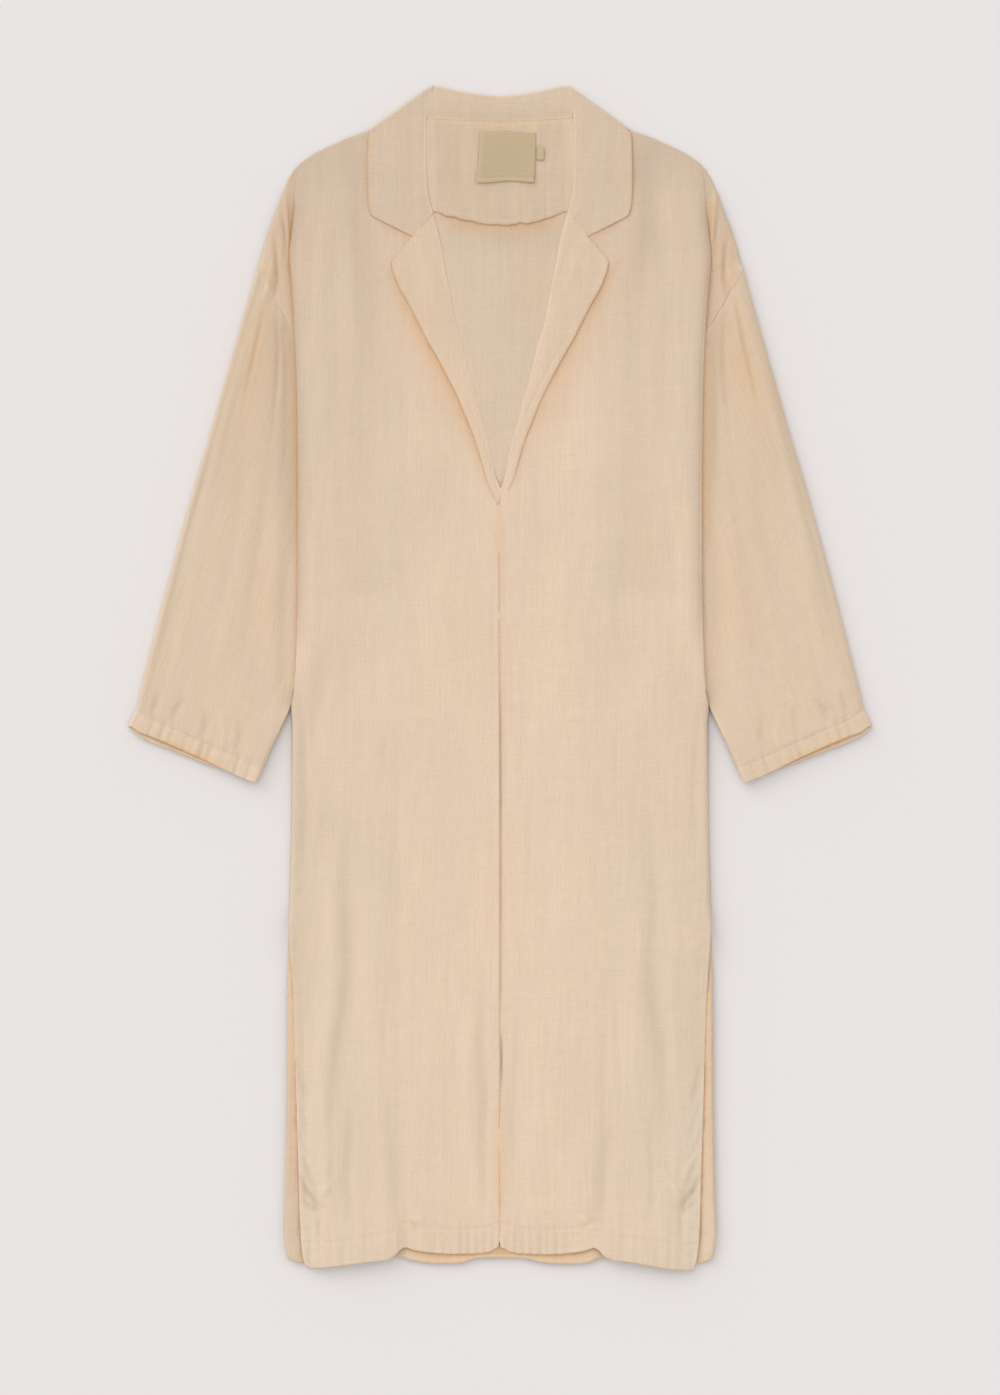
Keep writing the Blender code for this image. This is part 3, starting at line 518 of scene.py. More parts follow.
def front_panel(word, side):
    s = np.concatenate([np.linspace(81.0, 110.0, 13)[:-1], np.linspace(110.0, 1140.0, 330)[:-1],
                        np.linspace(1140.0, 1185.0, 24)])
    R = len(s)
    NM, NA, NT, NV, NC = 80, 8, 10, 6, 36
    C = NM + 1 + NA + NT + NV + NC
    a_side, a_valley, a_cap = F_SIDE(s), F_VALLEY(s), F_CAP(s)
    d_in, a_in = F_DIN(s), F_AIN(s)
    a_in = np.where(s > 415.0, FRONT_EDGE[side](s), a_in)
    folded = s <= 606.0
    capped = s <= 383.0
    u = spaced(NM)
    zf = front_z(a_side, s, side)
    lift = STACK(s)
    closing = 1.0 - smooth((s - 540.0) / 66.0)
    r_fold = np.where(folded, 0.5 * (zf - np.minimum(Z_TURN * lift + 0.8 * (1 - lift), zf - 0.9)) * closing, 0.0)
    a_last = a_side - r_fold
    A = a_in[:, None] + (a_last - a_in)[:, None] * u[None, :]
    fade = 1.0 - smooth((s - 81.0) / 60.0)
    D = d_in[:, None] + (s - d_in)[:, None] * u[None, :] + fade[:, None] * BULGE(u)[None, :]
    low = smooth((s - 1100.0) / 85.0)[:, None]
    hem = FRONT_HEM[side](A)
    D = D + low * (hem - 1185.0) * ((s - 1100.0) / 85.0)[:, None].clip(0, 1)
    Z = front_z(A, D, side)
    seam0 = back_z(A, D) + 1.25
    w0 = smooth((s - 81.0) / 16.0)[:, None]
    Z = seam0 * (1 - w0) + Z * w0
    px, py = 500.0 + side * A, 85.0 + D
    edge_hold = smooth((s - 81.0) / 25.0)[:, None]
    relief = RELIEF * creases(px, py, FRONT_CREASES[side])
    dz = relief + crinkle(A, D, 2 if side < 0 else 6, 1.5)
    # stitched hem: a groove at the seam line, small puckers below it
    up = hem - D
    along_hem = 500.0 + side * A
    pucker = noise(along_hem / 7.5, 0.3, 31) * 0.30 + noise(along_hem / 3.4, 0.7, 33) * 0.12
    dz = dz + pucker * (1.0 - smooth((up - 20.0) / 9.0)) * smooth((up + 2.0) / 6.0)
    dz = dz - 0.42 * np.exp(-((up - 25.0) / 1.6) ** 2)
    # rolled edge of slit and front edge
    if True:
        gap = (a_side[:, None] - A)
        dz = dz - 0.30 * np.exp(-((gap - 9.0) / 1.4) ** 2) * smooth((D - 835.0) / 40.0)
        dz = dz + (0.45 * noise(D / 6.0, gap / 14.0, 35) + 0.25 * noise(D / 2.9, gap / 9.0, 36)) \
            * (1.0 - smooth((gap - 7.0) / 8.0)) * smooth((D - 640.0) / 60.0)
        dz = dz - 0.25 * np.exp(-((A - 6.5) / 1.2) ** 2) * smooth((D - 430.0) / 20.0)
    Z = Z + dz * edge_hold
    Z = np.maximum(Z, back_z(A, D) + 1.3)
    soft = STACK(s) * (1.0 - smooth((s - 560.0) / 46.0))
    gap = np.maximum(a_last[:, None] - A, 0.0)
    Z = Z - 1.5 * soft[:, None] * (1.0 - np.sqrt(np.clip(1.0 - (1.0 - gap / 13.0).clip(0, 1) ** 2, 0.0, 1.0)))
    # side seam edge rounds down to the back
    rounding = smooth((s - 612.0) / 30.0) * (1.0 - smooth((s - 815.0) / 30.0))
    gap = np.maximum(a_side[:, None] - A, 0.0)
    fall = np.sqrt(np.clip(1.0 - (1.0 - gap / 5.0).clip(0, 1) ** 2, 0.0, 1.0))
    edge_z = Z_BACK + 1.25
    Z = Z + rounding[:, None] * (edge_z + (Z - edge_z) * fall - Z)

    P = np.zeros((R, C, 3))
    ok = np.zeros((R, C), bool)
    P[:, :NM + 1, 0], P[:, :NM + 1, 1], P[:, :NM + 1, 2] = A, D, Z
    ok[:, :NM + 1] = True
    zl = Z[:, -1]
    z_turn = np.minimum(Z_TURN * lift + 0.8 * (1 - lift), zl - 0.9)
    sn, cs = half_turn(0, 1, NA)
    c0 = NM + 1
    P[:, c0:c0 + NA, 0] = a_last[:, None] + r_fold[:, None] * sn[None, :]
    P[:, c0:c0 + NA, 1] = s[:, None]
    P[:, c0:c0 + NA, 2] = zl[:, None] + (z_turn - zl)[:, None] * cs[None, :]
    ok[:, c0:c0 + NA] = folded[:, None]
    c1 = c0 + NA
    t = np.arange(1, NT + 1) / NT
    at = a_last[:, None] + (a_valley - a_last)[:, None] * t[None, :]
    P[:, c1:c1 + NT, 0] = at
    P[:, c1:c1 + NT, 1] = s[:, None]
    zt = np.repeat(z_turn[:, None], NT, 1)
    sewn = smooth((s - 383.0) / 20.0)[:, None] * smooth(1.0 - (at - a_valley[:, None]) / 6.0)
    zt = zt + sewn * (Z_BACK + 2.5 * PITCH + 0.6 - zt)
    P[:, c1:c1 + NT, 2] = zt
    ok[:, c1:c1 + NT] = folded[:, None]
    c2 = c1 + NT
    z_cap = Z_BACK + (sleeve_z(a_valley) - Z_BACK) * lift + PITCH
    sn, cs = half_turn(0, 1, NV)
    P[:, c2:c2 + NV, 0] = a_valley[:, None] - 0.8 * sn[None, :]
    P[:, c2:c2 + NV, 1] = s[:, None]
    P[:, c2:c2 + NV, 2] = z_turn[:, None] + (z_cap - z_turn)[:, None] * cs[None, :]
    ok[:, c2:c2 + NV] = capped[:, None]
    c3 = c2 + NV
    t = (np.arange(1, NC + 1) / NC) ** 0.7
    ac = a_valley[:, None] + (a_cap - a_valley)[:, None] * t[None, :]
    dc = np.repeat(s[:, None], NC, 1)
    P[:, c3:, 0], P[:, c3:, 1] = ac, dc
    P[:, c3:, 2] = cap_z(ac, dc, a_cap[:, None], side, True)
    ok[:, c3:] = capped[:, None]
    # at the shoulder the fold opens out into a flat stretch
    w = smooth((s - 82.0) / 40.0)[:, None, None]
    k = np.arange(1, C - NM)[None, :] / (C - NM - 1.0)
    flat = np.zeros((R, C - NM - 1, 3))
    reach = np.maximum(a_cap - a_last, 2.0)[:, None]
    flat[:, :, 0] = a_last[:, None] + reach * k
    flat[:, :, 1] = s[:, None] + 5.0 * k * (1 - w[:, :, 0])
    flat[:, :, 2] = (Z_BACK + 1.25) * (1 - w[:, :, 0]) + w[:, :, 0] * zl[:, None]
    P[:, NM + 1:] = flat * (1 - w) + P[:, NM + 1:] * w

    cell = ok[:-1, :-1] & ok[1:, :-1] & ok[:-1, 1:] & ok[1:, 1:]
    px, py = 500.0 + side * P[:, :, 0], 85.0 + P[:, :, 1]
    # painted warm shade along lapel edges, folds and the centre front, on top of the painted shade and light of
    # tone_front
    tone = tone_front(px, py) * warm_painted_shade(px, py, FRONT_WARM if side < 0 else FRONT_WARM_LEFT)
    tone[:, :NM + 1] *= shade(relief) * shade(1.6 * creases(px[:, :NM + 1], py[:, :NM + 1], sharp(FRONT_CREASES[side])), 0.90, 1.05)
    cap_fold = RELIEF * creases(px[:, c3:], py[:, c3:], SLEEVE_CREASES[side])
    tone[:, c3:] *= (0.95 if side < 0 else 0.96) * shade(3.0 * cap_fold, 0.84, 1.08) * np.array([1.012, 1.0, 0.97])
    # painted light on the turn of the viewer's right front's fold
    tone[:, c0:c0 + NA] *= 1.0 if side < 0 else 1.08
    tone *= dark(px, py, FRONT_DARK if side > 0 else [])
    # painted warm shade along the fold edge and creases of the shoulder cap
    tone = tone * np.where(np.arange(C)[None, :, None] >= c0, warm_painted_shade(px, py, CAP_WARM if side < 0 else [CAP_WARM_LEFT] + mirrored(CAP_WARM[1:])), 1.0)
    grain = P[:, :, :2].copy()
    P[:, :, 0] *= side
    wall = np.full((R, C), CLOTH)
    wall[:, c3:] = 0.25 + (CLOTH - 0.25) * np.maximum(smooth((a_cap[:, None] - ac) / 4.0), 1.0 - smooth((dc - 184.0) / 8.0))
    crisp = np.zeros((R, C), bool)
    crisp[s > 178.0, -2:] = True
    return shell("front_%s_cloth" % word, P, wall, grain, tone, valid=cell, crisp=crisp)


def sleeve_z(a):
    return Z_BACK + SLEEVE_LIFT * (1.0 - smooth((a - 218.0) / 37.0))


SLEEVE_CREASES = {
    -1.0: [
        ([(273.8, 234), (276.6, 261), (277.5, 280), (274.5, 294), (270, 308)], 1.8, 2.6, -1.3),
        ([(271.5, 266), (270, 281), (267, 292), (264, 304)], 2.0, 2.2, 1.0),
        ([(269, 288), (263, 314), (257.5, 342), (250, 376), (242, 410)], 1.8, 2.6, -0.8),
        ([(276.6, 299), (277.5, 336), (278.4, 362), (275, 410), (270, 450)], 1.6, 2.4, -0.7),
        ([(285, 190), (287, 214), (288.4, 238), (287.5, 254)], 1.6, 2.0, 1.2),
        ([(280, 204), (284, 226), (286, 246), (283, 266)], 2.0, 2.2, -1.0),
        ([(284.5, 318), (287, 380), (286, 440), (282, 500)], 2.0, 3.0, -0.5),
        ([(281, 330), (282, 380), (279, 430)], 2.2, 2.6, 0.35),
        ([(246, 330), (232, 390), (221, 450), (208, 520)], 6.0, 9.0, 0.7),
        ([(262, 420), (246, 500), (232, 570), (222, 640)], 9.0, 12.0, -0.8),
        ([(288, 480), (276, 560), (268, 620), (262, 680)], 8.0, 10.0, 0.8),
        ([(212, 480), (196, 560), (182, 630), (172, 690)], 8.0, 9.0, 0.6),
        ([(286, 560), (283, 620), (284, 690)], 6.0, 6.0, -0.7),
        ([(188, 560), (176, 620), (163, 680)], 6.0, 7.0, -0.6),
        ([(172, 722), (176, 708), (186, 697)], 2.6, 3.2, -1.1),
        ([(200, 738), (206, 722), (204, 706)], 2.6, 3.4, -1.0),
        ([(236, 752), (240, 736), (238, 716)], 2.8, 3.4, -0.9),
        ([(152, 716), (156, 702), (160, 690)], 2.6, 3.0, -0.9),
        ([(222, 748), (224, 730), (220, 712)], 2.6, 3.4, 0.7),
    ],
}
SLEEVE_CREASES[-1.0] += [
    ([(266, 262), (248, 318), (226, 395), (203, 480), (182, 560), (160, 650), (146, 700)], 4.0, 4.5, -0.9),
    ([(240, 380), (226, 440), (210, 510)], 4.0, 5.0, -0.6),
    ([(256, 460), (244, 540), (228, 620), (214, 690)], 5.0, 6.0, 0.6),
    ([(274, 420), (266, 500), (252, 590), (244, 660)], 4.0, 6.0, -0.6),
]
SLEEVE_CREASES[1.0] = [(pts, wl, wr, h * (0.8 + 0.1 * ((7 * i) % 5))) for i, (pts, wl, wr, h)
                       in enumerate(mirrored(SLEEVE_CREASES[-1.0]))]
# stitched-down pleats of the cuffs
for x, y, h in ((149, 735, .7), (160, 740, 1.1), (169, 744, .6), (184, 750, .5), (199, 757, 1.2), (207, 760, .7),
                (221, 766, .5), (234, 772, 1.1), (246, 777, .6)):
    for side in (-1.0, 1.0):
        m = lambda q: q if side < 0 else 1000.0 - q + 1.2 * math.sin(x)
        SLEEVE_CREASES[side].append(([(m(x - 3.0), y + 9.0), (m(x + 1.0), y - 6.0), (m(x + 7.0), y - 24.0)], 1.8, 2.4, -h))


def cap_z(a, d, a_cap, side, upper):
    """Shoulder cap, upper (front) or under (back) layer."""
    z = Z_BACK + (sleeve_z(a) - Z_BACK) * STACK(d)
    if not upper:
        return z
    out = a_cap - a
    loft = 2.4 * smooth((a - 206.0) / 12.0) * np.sqrt(np.clip(1.0 - (1.0 - out / 9.0).clip(0, 1) ** 2, 0, 1))
    seam = smooth((d - 178.0) / 8.0)            # below the shoulder point the edge is the armhole seam
    loft = loft * (1 - seam) + seam * sleeve_loft(a)
    base = PITCH * (1 - seam) * smooth(out / 5.0) + PITCH * seam + 1.2 * (1 - seam) * (1 - smooth(out / 5.0))
    c = creases(500.0 + side * a, 85.0 + d, SLEEVE_CREASES[side])
    return z + base + loft + RELIEF * c * smooth((a - 204.0) / 8.0)


def sleeve_loft(a):
    return 0.2 + 7.6 * smooth((a - 210.0) / 44.0)


RINGS = [   # along, a_out, d_out, a_in, d_in
    (0.0, 241.8, 181.1, 134.3, 376.2),
    (0.14, 262.2, 252.0, 144.0, 427.0),
    (0.30, 284.2, 330.0, 165.0, 487.0),
    (0.46, 308.4, 412.0, 186.0, 540.0),
    (0.62, 332.5, 500.0, 195.5, 583.0),
    (0.78, 350.5, 570.0, 207.4, 617.5),
    (0.90, 361.0, 612.0, 226.8, 659.5),
    (0.955, 363.5, 624.0, 235.0, 678.5),
    (0.975, 367.5, 632.0, 237.8, 685.0),
    (1.0, 371.6, 643.0, 241.8, 694.0),
]
R_AO = Curve([(r[0], r[1]) for r in RINGS])
R_DO = Curve([(r[0], r[2]) for r in RINGS])
R_AI = Curve([(r[0], r[3]) for r in RINGS])
R_DI = Curve([(r[0], r[4]) for r in RINGS])


def sleeve(word, side):
    t = np.concatenate([np.linspace(0.0, 0.93, 150)[:-1], np.linspace(0.93, 1.0, 34)])
    n_top, n_low = 84, 56
    xi_top = -np.cos(np.pi * np.linspace(0, 1, n_top + 1))
    xi_top = 0.55 * xi_top + 0.45 * np.linspace(-1, 1, n_top + 1)
    xi_low = np.linspace(1, -1, n_low + 1)[1:-1]
    xi_low = 0.5 * np.sin(xi_low * np.pi / 2) + 0.5 * xi_low
    ao, do, ai, di = R_AO(t), R_DO(t), R_AI(t), R_DI(t)
    length = np.hypot(ao - ai, do - di)

    def plan(xi):
        f = (xi[None, :] + 1.0) / 2.0
        return ai[:, None] + (ao - ai)[:, None] * f, di[:, None] + (do - di)[:, None] * f

    def round_edge(xi):
        gap = (1.0 - np.abs(xi))[None, :] * length[:, None] / 2.0
        return np.sqrt(np.clip(1.0 - (1.0 - gap / 5.5).clip(0, 1) ** 2, 0.0, 1.0))

    cuff = smooth((t - 0.90) / 0.10)[:, None]
    at, dt = plan(xi_top)
    ft = round_edge(xi_top)
    middle = (1.0 - xi_top[None, :] ** 2).clip(0, 1)
    open_up = smooth((at - 232.0) / 20.0)
    mouth = smooth((t[:, None] - 0.94) / 0.06)
    end_t = mouth * smooth((at - 236.0) / 30.0)
    top_z = sleeve_z(at) + 0.5 + (1.1 + sleeve_loft(at) * (1.0 - 0.76 * end_t) + 0.3 * cuff * middle * open_up) * ft
    top_z = top_z + 3.8 * end_t * (0.3 + 0.7 * ft)
    along = t[:, None] * 500.0 + 0 * at
    across = (xi_top[None, :] * length[:, None] / 2.0)
    px, py = 500.0 + side * at, 85.0 + dt
    relief = RELIEF * creases(px, py, SLEEVE_CREASES[side])
    dz = relief + crinkle(across, along, 12 if side < 0 else 15, 1.5)
    up = (1.0 - t)[:, None] * 500.0
    pucker = noise(across / 7.0, 0.4, 41) * 0.5 + noise(across / 3.3, 0.2, 43) * 0.25
    dz = dz + pucker * (1.0 - smooth((up - 17.0) / 8.0)) - 0.28 * np.exp(-((up - 20.0) / 1.8) ** 2)
    clear = smooth((at - 206.0) / 8.0) * ft
    top_z = top_z + dz * clear - 0.60 * (1.0 - smooth((along - 2.0) / 5.0)) * clear
    peek = np.interp(xi_top, [-1.0, -0.70, -0.45, -0.1, 0.35, 0.7, 0.92, 1.0], [0.0, 0.0, 1.2, 3.4, 5.0, 5.4, 4.2, 1.5])
    bow = lambda xi: 4.8 * smooth((1.0 - np.abs(xi)) / np.where(xi < 0.0, 0.05, 0.20))[None, :] * smooth((t[:, None] - 0.80) / 0.20)
    dt = dt - 1.0 * peek[None, :] * smooth((t[:, None] - 0.93) / 0.07) + bow(xi_top)
    # towards the cuff the inner edge comes off the surface
    ease = lambda xi: 2.4 * smooth((t[:, None] - 0.76) / 0.12) * (1.0 - smooth((xi + 1.0) / 0.45))[None, :]
    top_z = top_z + ease(xi_top)
    al, dl = plan(xi_low)
    dl = dl + bow(xi_low)
    fl = round_edge(xi_low)
    low_z = sleeve_z(al) + 0.5 - 0.5 * fl
    low_z = low_z + 3.8 * mouth * smooth((al - 236.0) / 30.0) * (0.3 + 0.7 * fl)
    low_z = low_z + ease(xi_low)
    dl = dl + 0.8 * noise(xi_low[None, :] * 8.0, 0.5, 47) * cuff
    P = np.zeros((len(t), n_top + 1 + len(xi_low), 3))
    P[:, :n_top + 1] = np.stack([at, dt, top_z], 2)
    P[:, n_top + 1:] = np.stack([al, dl, low_z], 2)
    grain = np.zeros(P.shape[:2] + (2,))
    grain[:, :n_top + 1, 0] = across
    grain[:, n_top + 1:, 0] = xi_low[None, :] * length[:, None] / 2.0 + 400.0
    grain[:, :, 1] = t[:, None] * 500.0
    tone = np.full(P.shape[:2], 0.945)
    tone += 0.010 * noise(grain[:, :, 0] / 25.0, grain[:, :, 1] / 120.0, 8)
    tone -= 0.012 * (1.0 - smooth(t / 0.35))[:, None]
    tone += 0.012 * cuff + 0.045 * smooth((t[:, None] - 0.958) / 0.006)
    # painted light along the armhole seam, stronger on the viewer's right
    tone += (0.035 if side < 0 else 0.085) * np.exp(-((t * 500.0 - 3.5) / 2.0) ** 2)[:, None]
    ax, ay = np.abs(P[:, :, 0]), P[:, :, 1]
    tone += (0.05 if side < 0 else 0.02) * np.exp(-((ax - 228.0) / 12.0) ** 2) * smooth((ay - 380.0) / 90.0) * (1.0 - smooth((ay - 600.0) / 60.0))
    # painted shade in the valley beside the front's fold, stronger on the viewer's left
    tone -= (0.105 if side < 0 else 0.035) * np.exp(-((ax - 210.0) / 15.0) ** 2) * smooth((ay - 225.0) / 20.0) * (1.0 - 0.92 * smooth((ay - 370.0) / 130.0))
    px, py = 500.0 + side * P[:, :, 0], 85.0 + P[:, :, 1]
    tone[:, :n_top + 1] -= 0.050 * np.exp(-((1.0 - xi_top)[None, :] * length[:, None] / 2.0 / 15.0) ** 2)
    # on the viewer's right: painted shade along a line beside the fold, painted light right at the fold's edge
    if side > 0:
        tone -= 0.06 * np.clip(creases(px, py, [([(726, 255), (723, 300), (719, 360), (713, 450), (706, 560)], 4.5, 5.0, 1.0)]), 0.0, 1.0)
        tone += 0.06 * np.exp(-((ax - 204.0) / 3.0) ** 2) * smooth((ay - 100.0) / 30.0) * (1.0 - smooth((ay - 470.0) / 60.0))
    # light comes through the turned edge of the cloth
    rim_out = (1.0 - xi_top)[None, :] * length[:, None] / 2.0
    rim_in = (1.0 + xi_top)[None, :] * length[:, None] / 2.0
    tone[:, :n_top + 1] += 0.10 * np.exp(-(rim_out / 2.4) ** 2) + 0.12 * np.exp(-(rim_in / 2.6) ** 2) * smooth((ay[:, :n_top + 1] - 590.0) / 30.0)
    # painted light on the under layer, seen in the cuff's opening
    tone[:, n_top + 1:] += 0.10
    # painted warm shade beside the fold, along creases and at the cuff's opening
    tone = tone[..., None] * warm_painted_shade(px, py, SLEEVE_WARM if side < 0 else mirrored(SLEEVE_WARM))
    tone = tone * np.array([0.995, 1.0, 0.978])
    tone[:, :n_top + 1] *= shade(relief) * shade(1.5 * creases(px[:, :n_top + 1], py[:, :n_top + 1], sharp(SLEEVE_CREASES[side])), 0.88, 1.05)
    P[:, :, 0] *= side
    crisp = np.zeros(P.shape[:2], bool)
    crisp[:1] = True
    return shell("sleeve_%s_cloth" % word, P, CLOTH, grain, tone, ring=True, crisp=crisp)


ROLL_LINE = [([(431, 205), (438, 235), (444.5, 265), (450, 293), (461, 340), (471, 380), (482, 420), (492, 460), (500, 500)],
              9.0, 9.0, 1.0)]
# narrow roll line, used for painted light along the roll on the back
ROLL_EDGE = [(ROLL_LINE[0][0], 2.5, 2.5, 1.0)]
# painted warm shade under the neck facing, along the slit edges and under the front hem
BACK_WARM = [
    ([(428, 213), (465, 225), (500, 229), (535, 225), (572, 213)], 6.0, 6.0, 1.0),
    ([(290, 905), (296, 1020), (298, 1120), (303, 1270)], 3.5, 3.5, 0.95),
    ([(288, 930), (289, 1080), (289, 1180), (288, 1265)], 4.0, 4.0, 0.42),
    ([(390, 1245), (412, 1250), (430, 1253), (470, 1254.5), (512, 1252)], 4.0, 4.0, 1.0),
    ([(396, 1254), (430, 1259), (474, 1258)], 6.0, 6.0, 0.45),
    ([(494, 1251), (500, 1247), (507, 1251)], 5.0, 5.0, 0.8),
]

# painted warm light in the gap beside each slit's front edge
BACK_GLOW = [
    ([(290, 890), (296, 1020), (298, 1120), (303, 1285)], 4.0, 3.0, 1.0),
]
# painted deep shade under the facing's edge and along the front hem
BACK_DARK = [
    ([(440, 222), (500, 232), (540, 228), (580, 214)], 5.0, 6.0, 0.07),
    ([(392, 1245), (412, 1249.6), (430, 1252.4), (470, 1254), (512, 1252)], 1.6, 1.4, 0.32),
]


def back_panel():
    s = np.concatenate([np.linspace(81.0, 110.0, 9)[:-1], np.linspace(110.0, 1140.0, 230)[:-1],
                        np.linspace(1140.0, 1185.0, 14)])
    R = len(s)
    NM, NA, NT, NV, NC = 60, 6, 7, 5, 12
    half = NM + 1 + NA + NT + NV + NC
    d_c = np.interp(s, [81.0, 100.0, 120.0, 145.0, 173.0, 183.5, 215.0, 1185.0],
                    [37.0, 58.0, 80.0, 108.0, 140.0, 165.0, 212.0, 1185.0])
    a_side = np.where(s < 606.0, F_SIDE(s) - 1.4, BACK_SIDE(s))
    a_valley, a_cap = F_VALLEY(s), F_CAP(s)
    folded, capped = s <= 606.0, s <= 383.0
    r = np.where(folded, PITCH / 2.0, 0.0)
    a_last = a_side - r
    u = np.linspace(0.0, 1.0, NM + 1)
    A = a_last[:, None] * u[None, :]
    neck = np.interp(A, [0.0, 60.0, 98.0, 112.0, 126.0, 158.0, 180.0, 197.0, 204.0],
                     [37.0, 34.5, 31.0, 41.0, 46.0, 56.0, 66.0, 76.0, 81.0])
    lin = d_c[:, None] + (s - d_c)[:, None] * np.clip((A - 100.0) / (a_last[:, None] - 100.0), 0, 1)
    w = smooth((s - 81.0) / 40.0)[:, None]
    shift = neck - (37.0 + (81.0 - 37.0) * np.clip((A - 100.0) / (a_last[:, None] - 100.0), 0, 1))
    D = lin + (1 - w) * shift
    out = {}
    for side in (-1.0, 1.0):
        hem = BACK_HEM(side * A)
        Dh = D + (hem - 1185.0) * ((s - 1100.0) / 85.0).clip(0, 1)[:, None] ** 2
        Z = back_z(A, Dh)
        up = hem - Dh
        lift = hem_lift(up, 40.0, 3.6) * (1.0 - 0.80 * smooth((A - 96.0) / 20.0))
        Z = Z + lift + smooth((Dh - 840.0) / 60.0) * hem_lift(a_side[:, None] - A, 24.0, 5.0)
        px = 500.0 + side * A
        inner = smooth((Dh - 120.0) / 30.0) * (1.0 - smooth((Dh - 400.0) / 30.0)) * (1.0 - smooth((A - INNER(Dh) + 10.0) / 10.0))
        roll = creases(px, 85.0 + Dh, ROLL_LINE + mirrored(ROLL_LINE))
        Z = Z + inner * (0.35 + crinkle(side * A, Dh, 18, 0.8) * (1.0 - np.clip(roll, 0, 1))) + 0.22 * np.clip(roll, 0, 1)
        edge = smooth((Dh - 860.0) / 80.0) * smooth((A - 185.0) / 15.0)
        Z = Z + edge * (0.4 + 0.5 * noise(Dh / 22.0, A / 12.0, 51) + 0.5 * noise(Dh / 6.0, A / 9.0, 52))
        pucker = 0.35 * noise(px / 6.5, 0.9, 53) + 0.2 * noise(px / 3.0, 0.1, 54)
        Z = Z + (0.4 + pucker) * (1.0 - smooth((up - 20.0) / 9.0))
        P = np.zeros((R, half, 3))
        ok = np.zeros((R, half), bool)
        P[:, :NM + 1] = np.stack([A, Dh, Z], 2)
        ok[:, :NM + 1] = True
        c0 = NM + 1
        sn, cs = half_turn(0, 1, NA)
        P[:, c0:c0 + NA, 0] = a_last[:, None] + r[:, None] * sn[None, :]
        P[:, c0:c0 + NA, 2] = Z_BACK + PITCH * cs[None, :]
        ok[:, c0:c0 + NA] = folded[:, None]
        c1 = c0 + NA
        t = np.arange(1, NT + 1) / NT
        at = a_last[:, None] + (a_valley - a_last)[:, None] * t[None, :]
        P[:, c1:c1 + NT, 0] = at
        sewn = smooth((s - 383.0) / 20.0)[:, None] * smooth(1.0 - (at - a_valley[:, None]) / 6.0)
        P[:, c1:c1 + NT, 2] = Z_BACK + PITCH + sewn * (1.5 * PITCH - 0.6)
        ok[:, c1:c1 + NT] = folded[:, None]
        c2 = c1 + NT
        sn, cs = half_turn(0, 1, NV)
        P[:, c2:c2 + NV, 0] = a_valley[:, None] - 0.8 * sn[None, :]
        P[:, c2:c2 + NV, 2] = Z_BACK + PITCH * (1.0 + cs[None, :])
        ok[:, c2:c2 + NV] = capped[:, None]
        c3 = c2 + NV
        t = np.arange(1, NC + 1) / NC
        ac = a_valley[:, None] + (a_cap - a_valley)[:, None] * t[None, :]
        P[:, c3:, 0] = ac
        P[:, c3:, 2] = cap_z(ac, s[:, None], a_cap[:, None], side, False)
        ok[:, c3:] = capped[:, None]
        P[:, NM + 1:, 1] = s[:, None]
        w3 = smooth((s - 81.0) / 19.0)[:, None, None]
        k = np.arange(1, half - NM)[None, :] / (half - NM - 1.0)
        flat = np.zeros((R, half - NM - 1, 3))
        flat[:, :, 0] = a_last[:, None] + np.maximum(a_cap - a_last, 2.0)[:, None] * k
        flat[:, :, 1] = s[:, None] + 5.0 * k * (1 - w3[:, :, 0])
        flat[:, :, 2] = Z_BACK
        P[:, NM + 1:] = flat * (1 - w3) + P[:, NM + 1:] * w3
        P[:, :, 0] *= side
        out[side] = (P, ok)
    P = np.concatenate([out[-1.0][0][:, ::-1], out[1.0][0][:, 1:]], 1)
    ok = np.concatenate([out[-1.0][1][:, ::-1], out[1.0][1][:, 1:]], 1)
    cell = ok[:-1, :-1] & ok[1:, :-1] & ok[:-1, 1:] & ok[1:, 1:]
    grain = P[:, :, :2].copy()
    tone = 0.92 + 0.012 * noise(P[:, :, 0] / 45.0, P[:, :, 1] / 80.0, 61) + 0.055 * smooth((P[:, :, 1] - 600.0) / 200.0)
    px, py = 500.0 + P[:, :, 0], 85.0 + P[:, :, 1]
    # painted shade under the neck facing's edge
    tone = tone - 0.045 * np.exp(-((py - 240.0) / 12.0) ** 2) * (1.0 - smooth((np.abs(P[:, :, 0]) - 55.0) / 10.0))
    # painted light on the back hem where it shows below the front hem
    tone = tone + 0.06 * smooth((py - 1246.0) / 6.0) * (1.0 - smooth((np.abs(P[:, :, 0]) - 90.0) / 10.0))
    # painted light along the lapels' roll lines
    tone = tone + 0.03 * np.clip(creases(px, py, ROLL_EDGE + mirrored(ROLL_EDGE)), 0.0, 1.0)
    # painted warm shade and painted deep shade under the facing, along the slit edges and under the front hem
    tone = tone[..., None] * warm_painted_shade(px, py, BACK_WARM + mirrored(BACK_WARM[1:5])) * dark(px, py, BACK_DARK + mirrored(BACK_DARK[1:]))
    # painted warm shade inside the neck towards the left front, most of all under the facing's edge
    inside = smooth((px - 488.0) / 40.0) * smooth((py - 221.0) / 5.0) * (1.0 - smooth((py - 290.0) / 60.0)) * (1.0 - smooth((px - 600.0) / 20.0))
    tone = tone * (1.0 - inside[..., None] * np.array([0.014, 0.028, 0.052]) * (1.0 + 0.9 * np.exp(-((py - 227.0) / 5.0) ** 2))[..., None])
    # painted warm light in the gap beside each slit's front edge
    glow = np.clip(creases(px, py, BACK_GLOW + mirrored(BACK_GLOW)), 0.0, 1.0)[..., None]
    tone = tone * (1.0 + glow * np.array([0.22, 0.10, 0.0]))
    tone = tone * np.array([0.985, 1.0, 1.0])
    return shell("back_cloth", P, CLOTH, grain, tone, valid=cell)


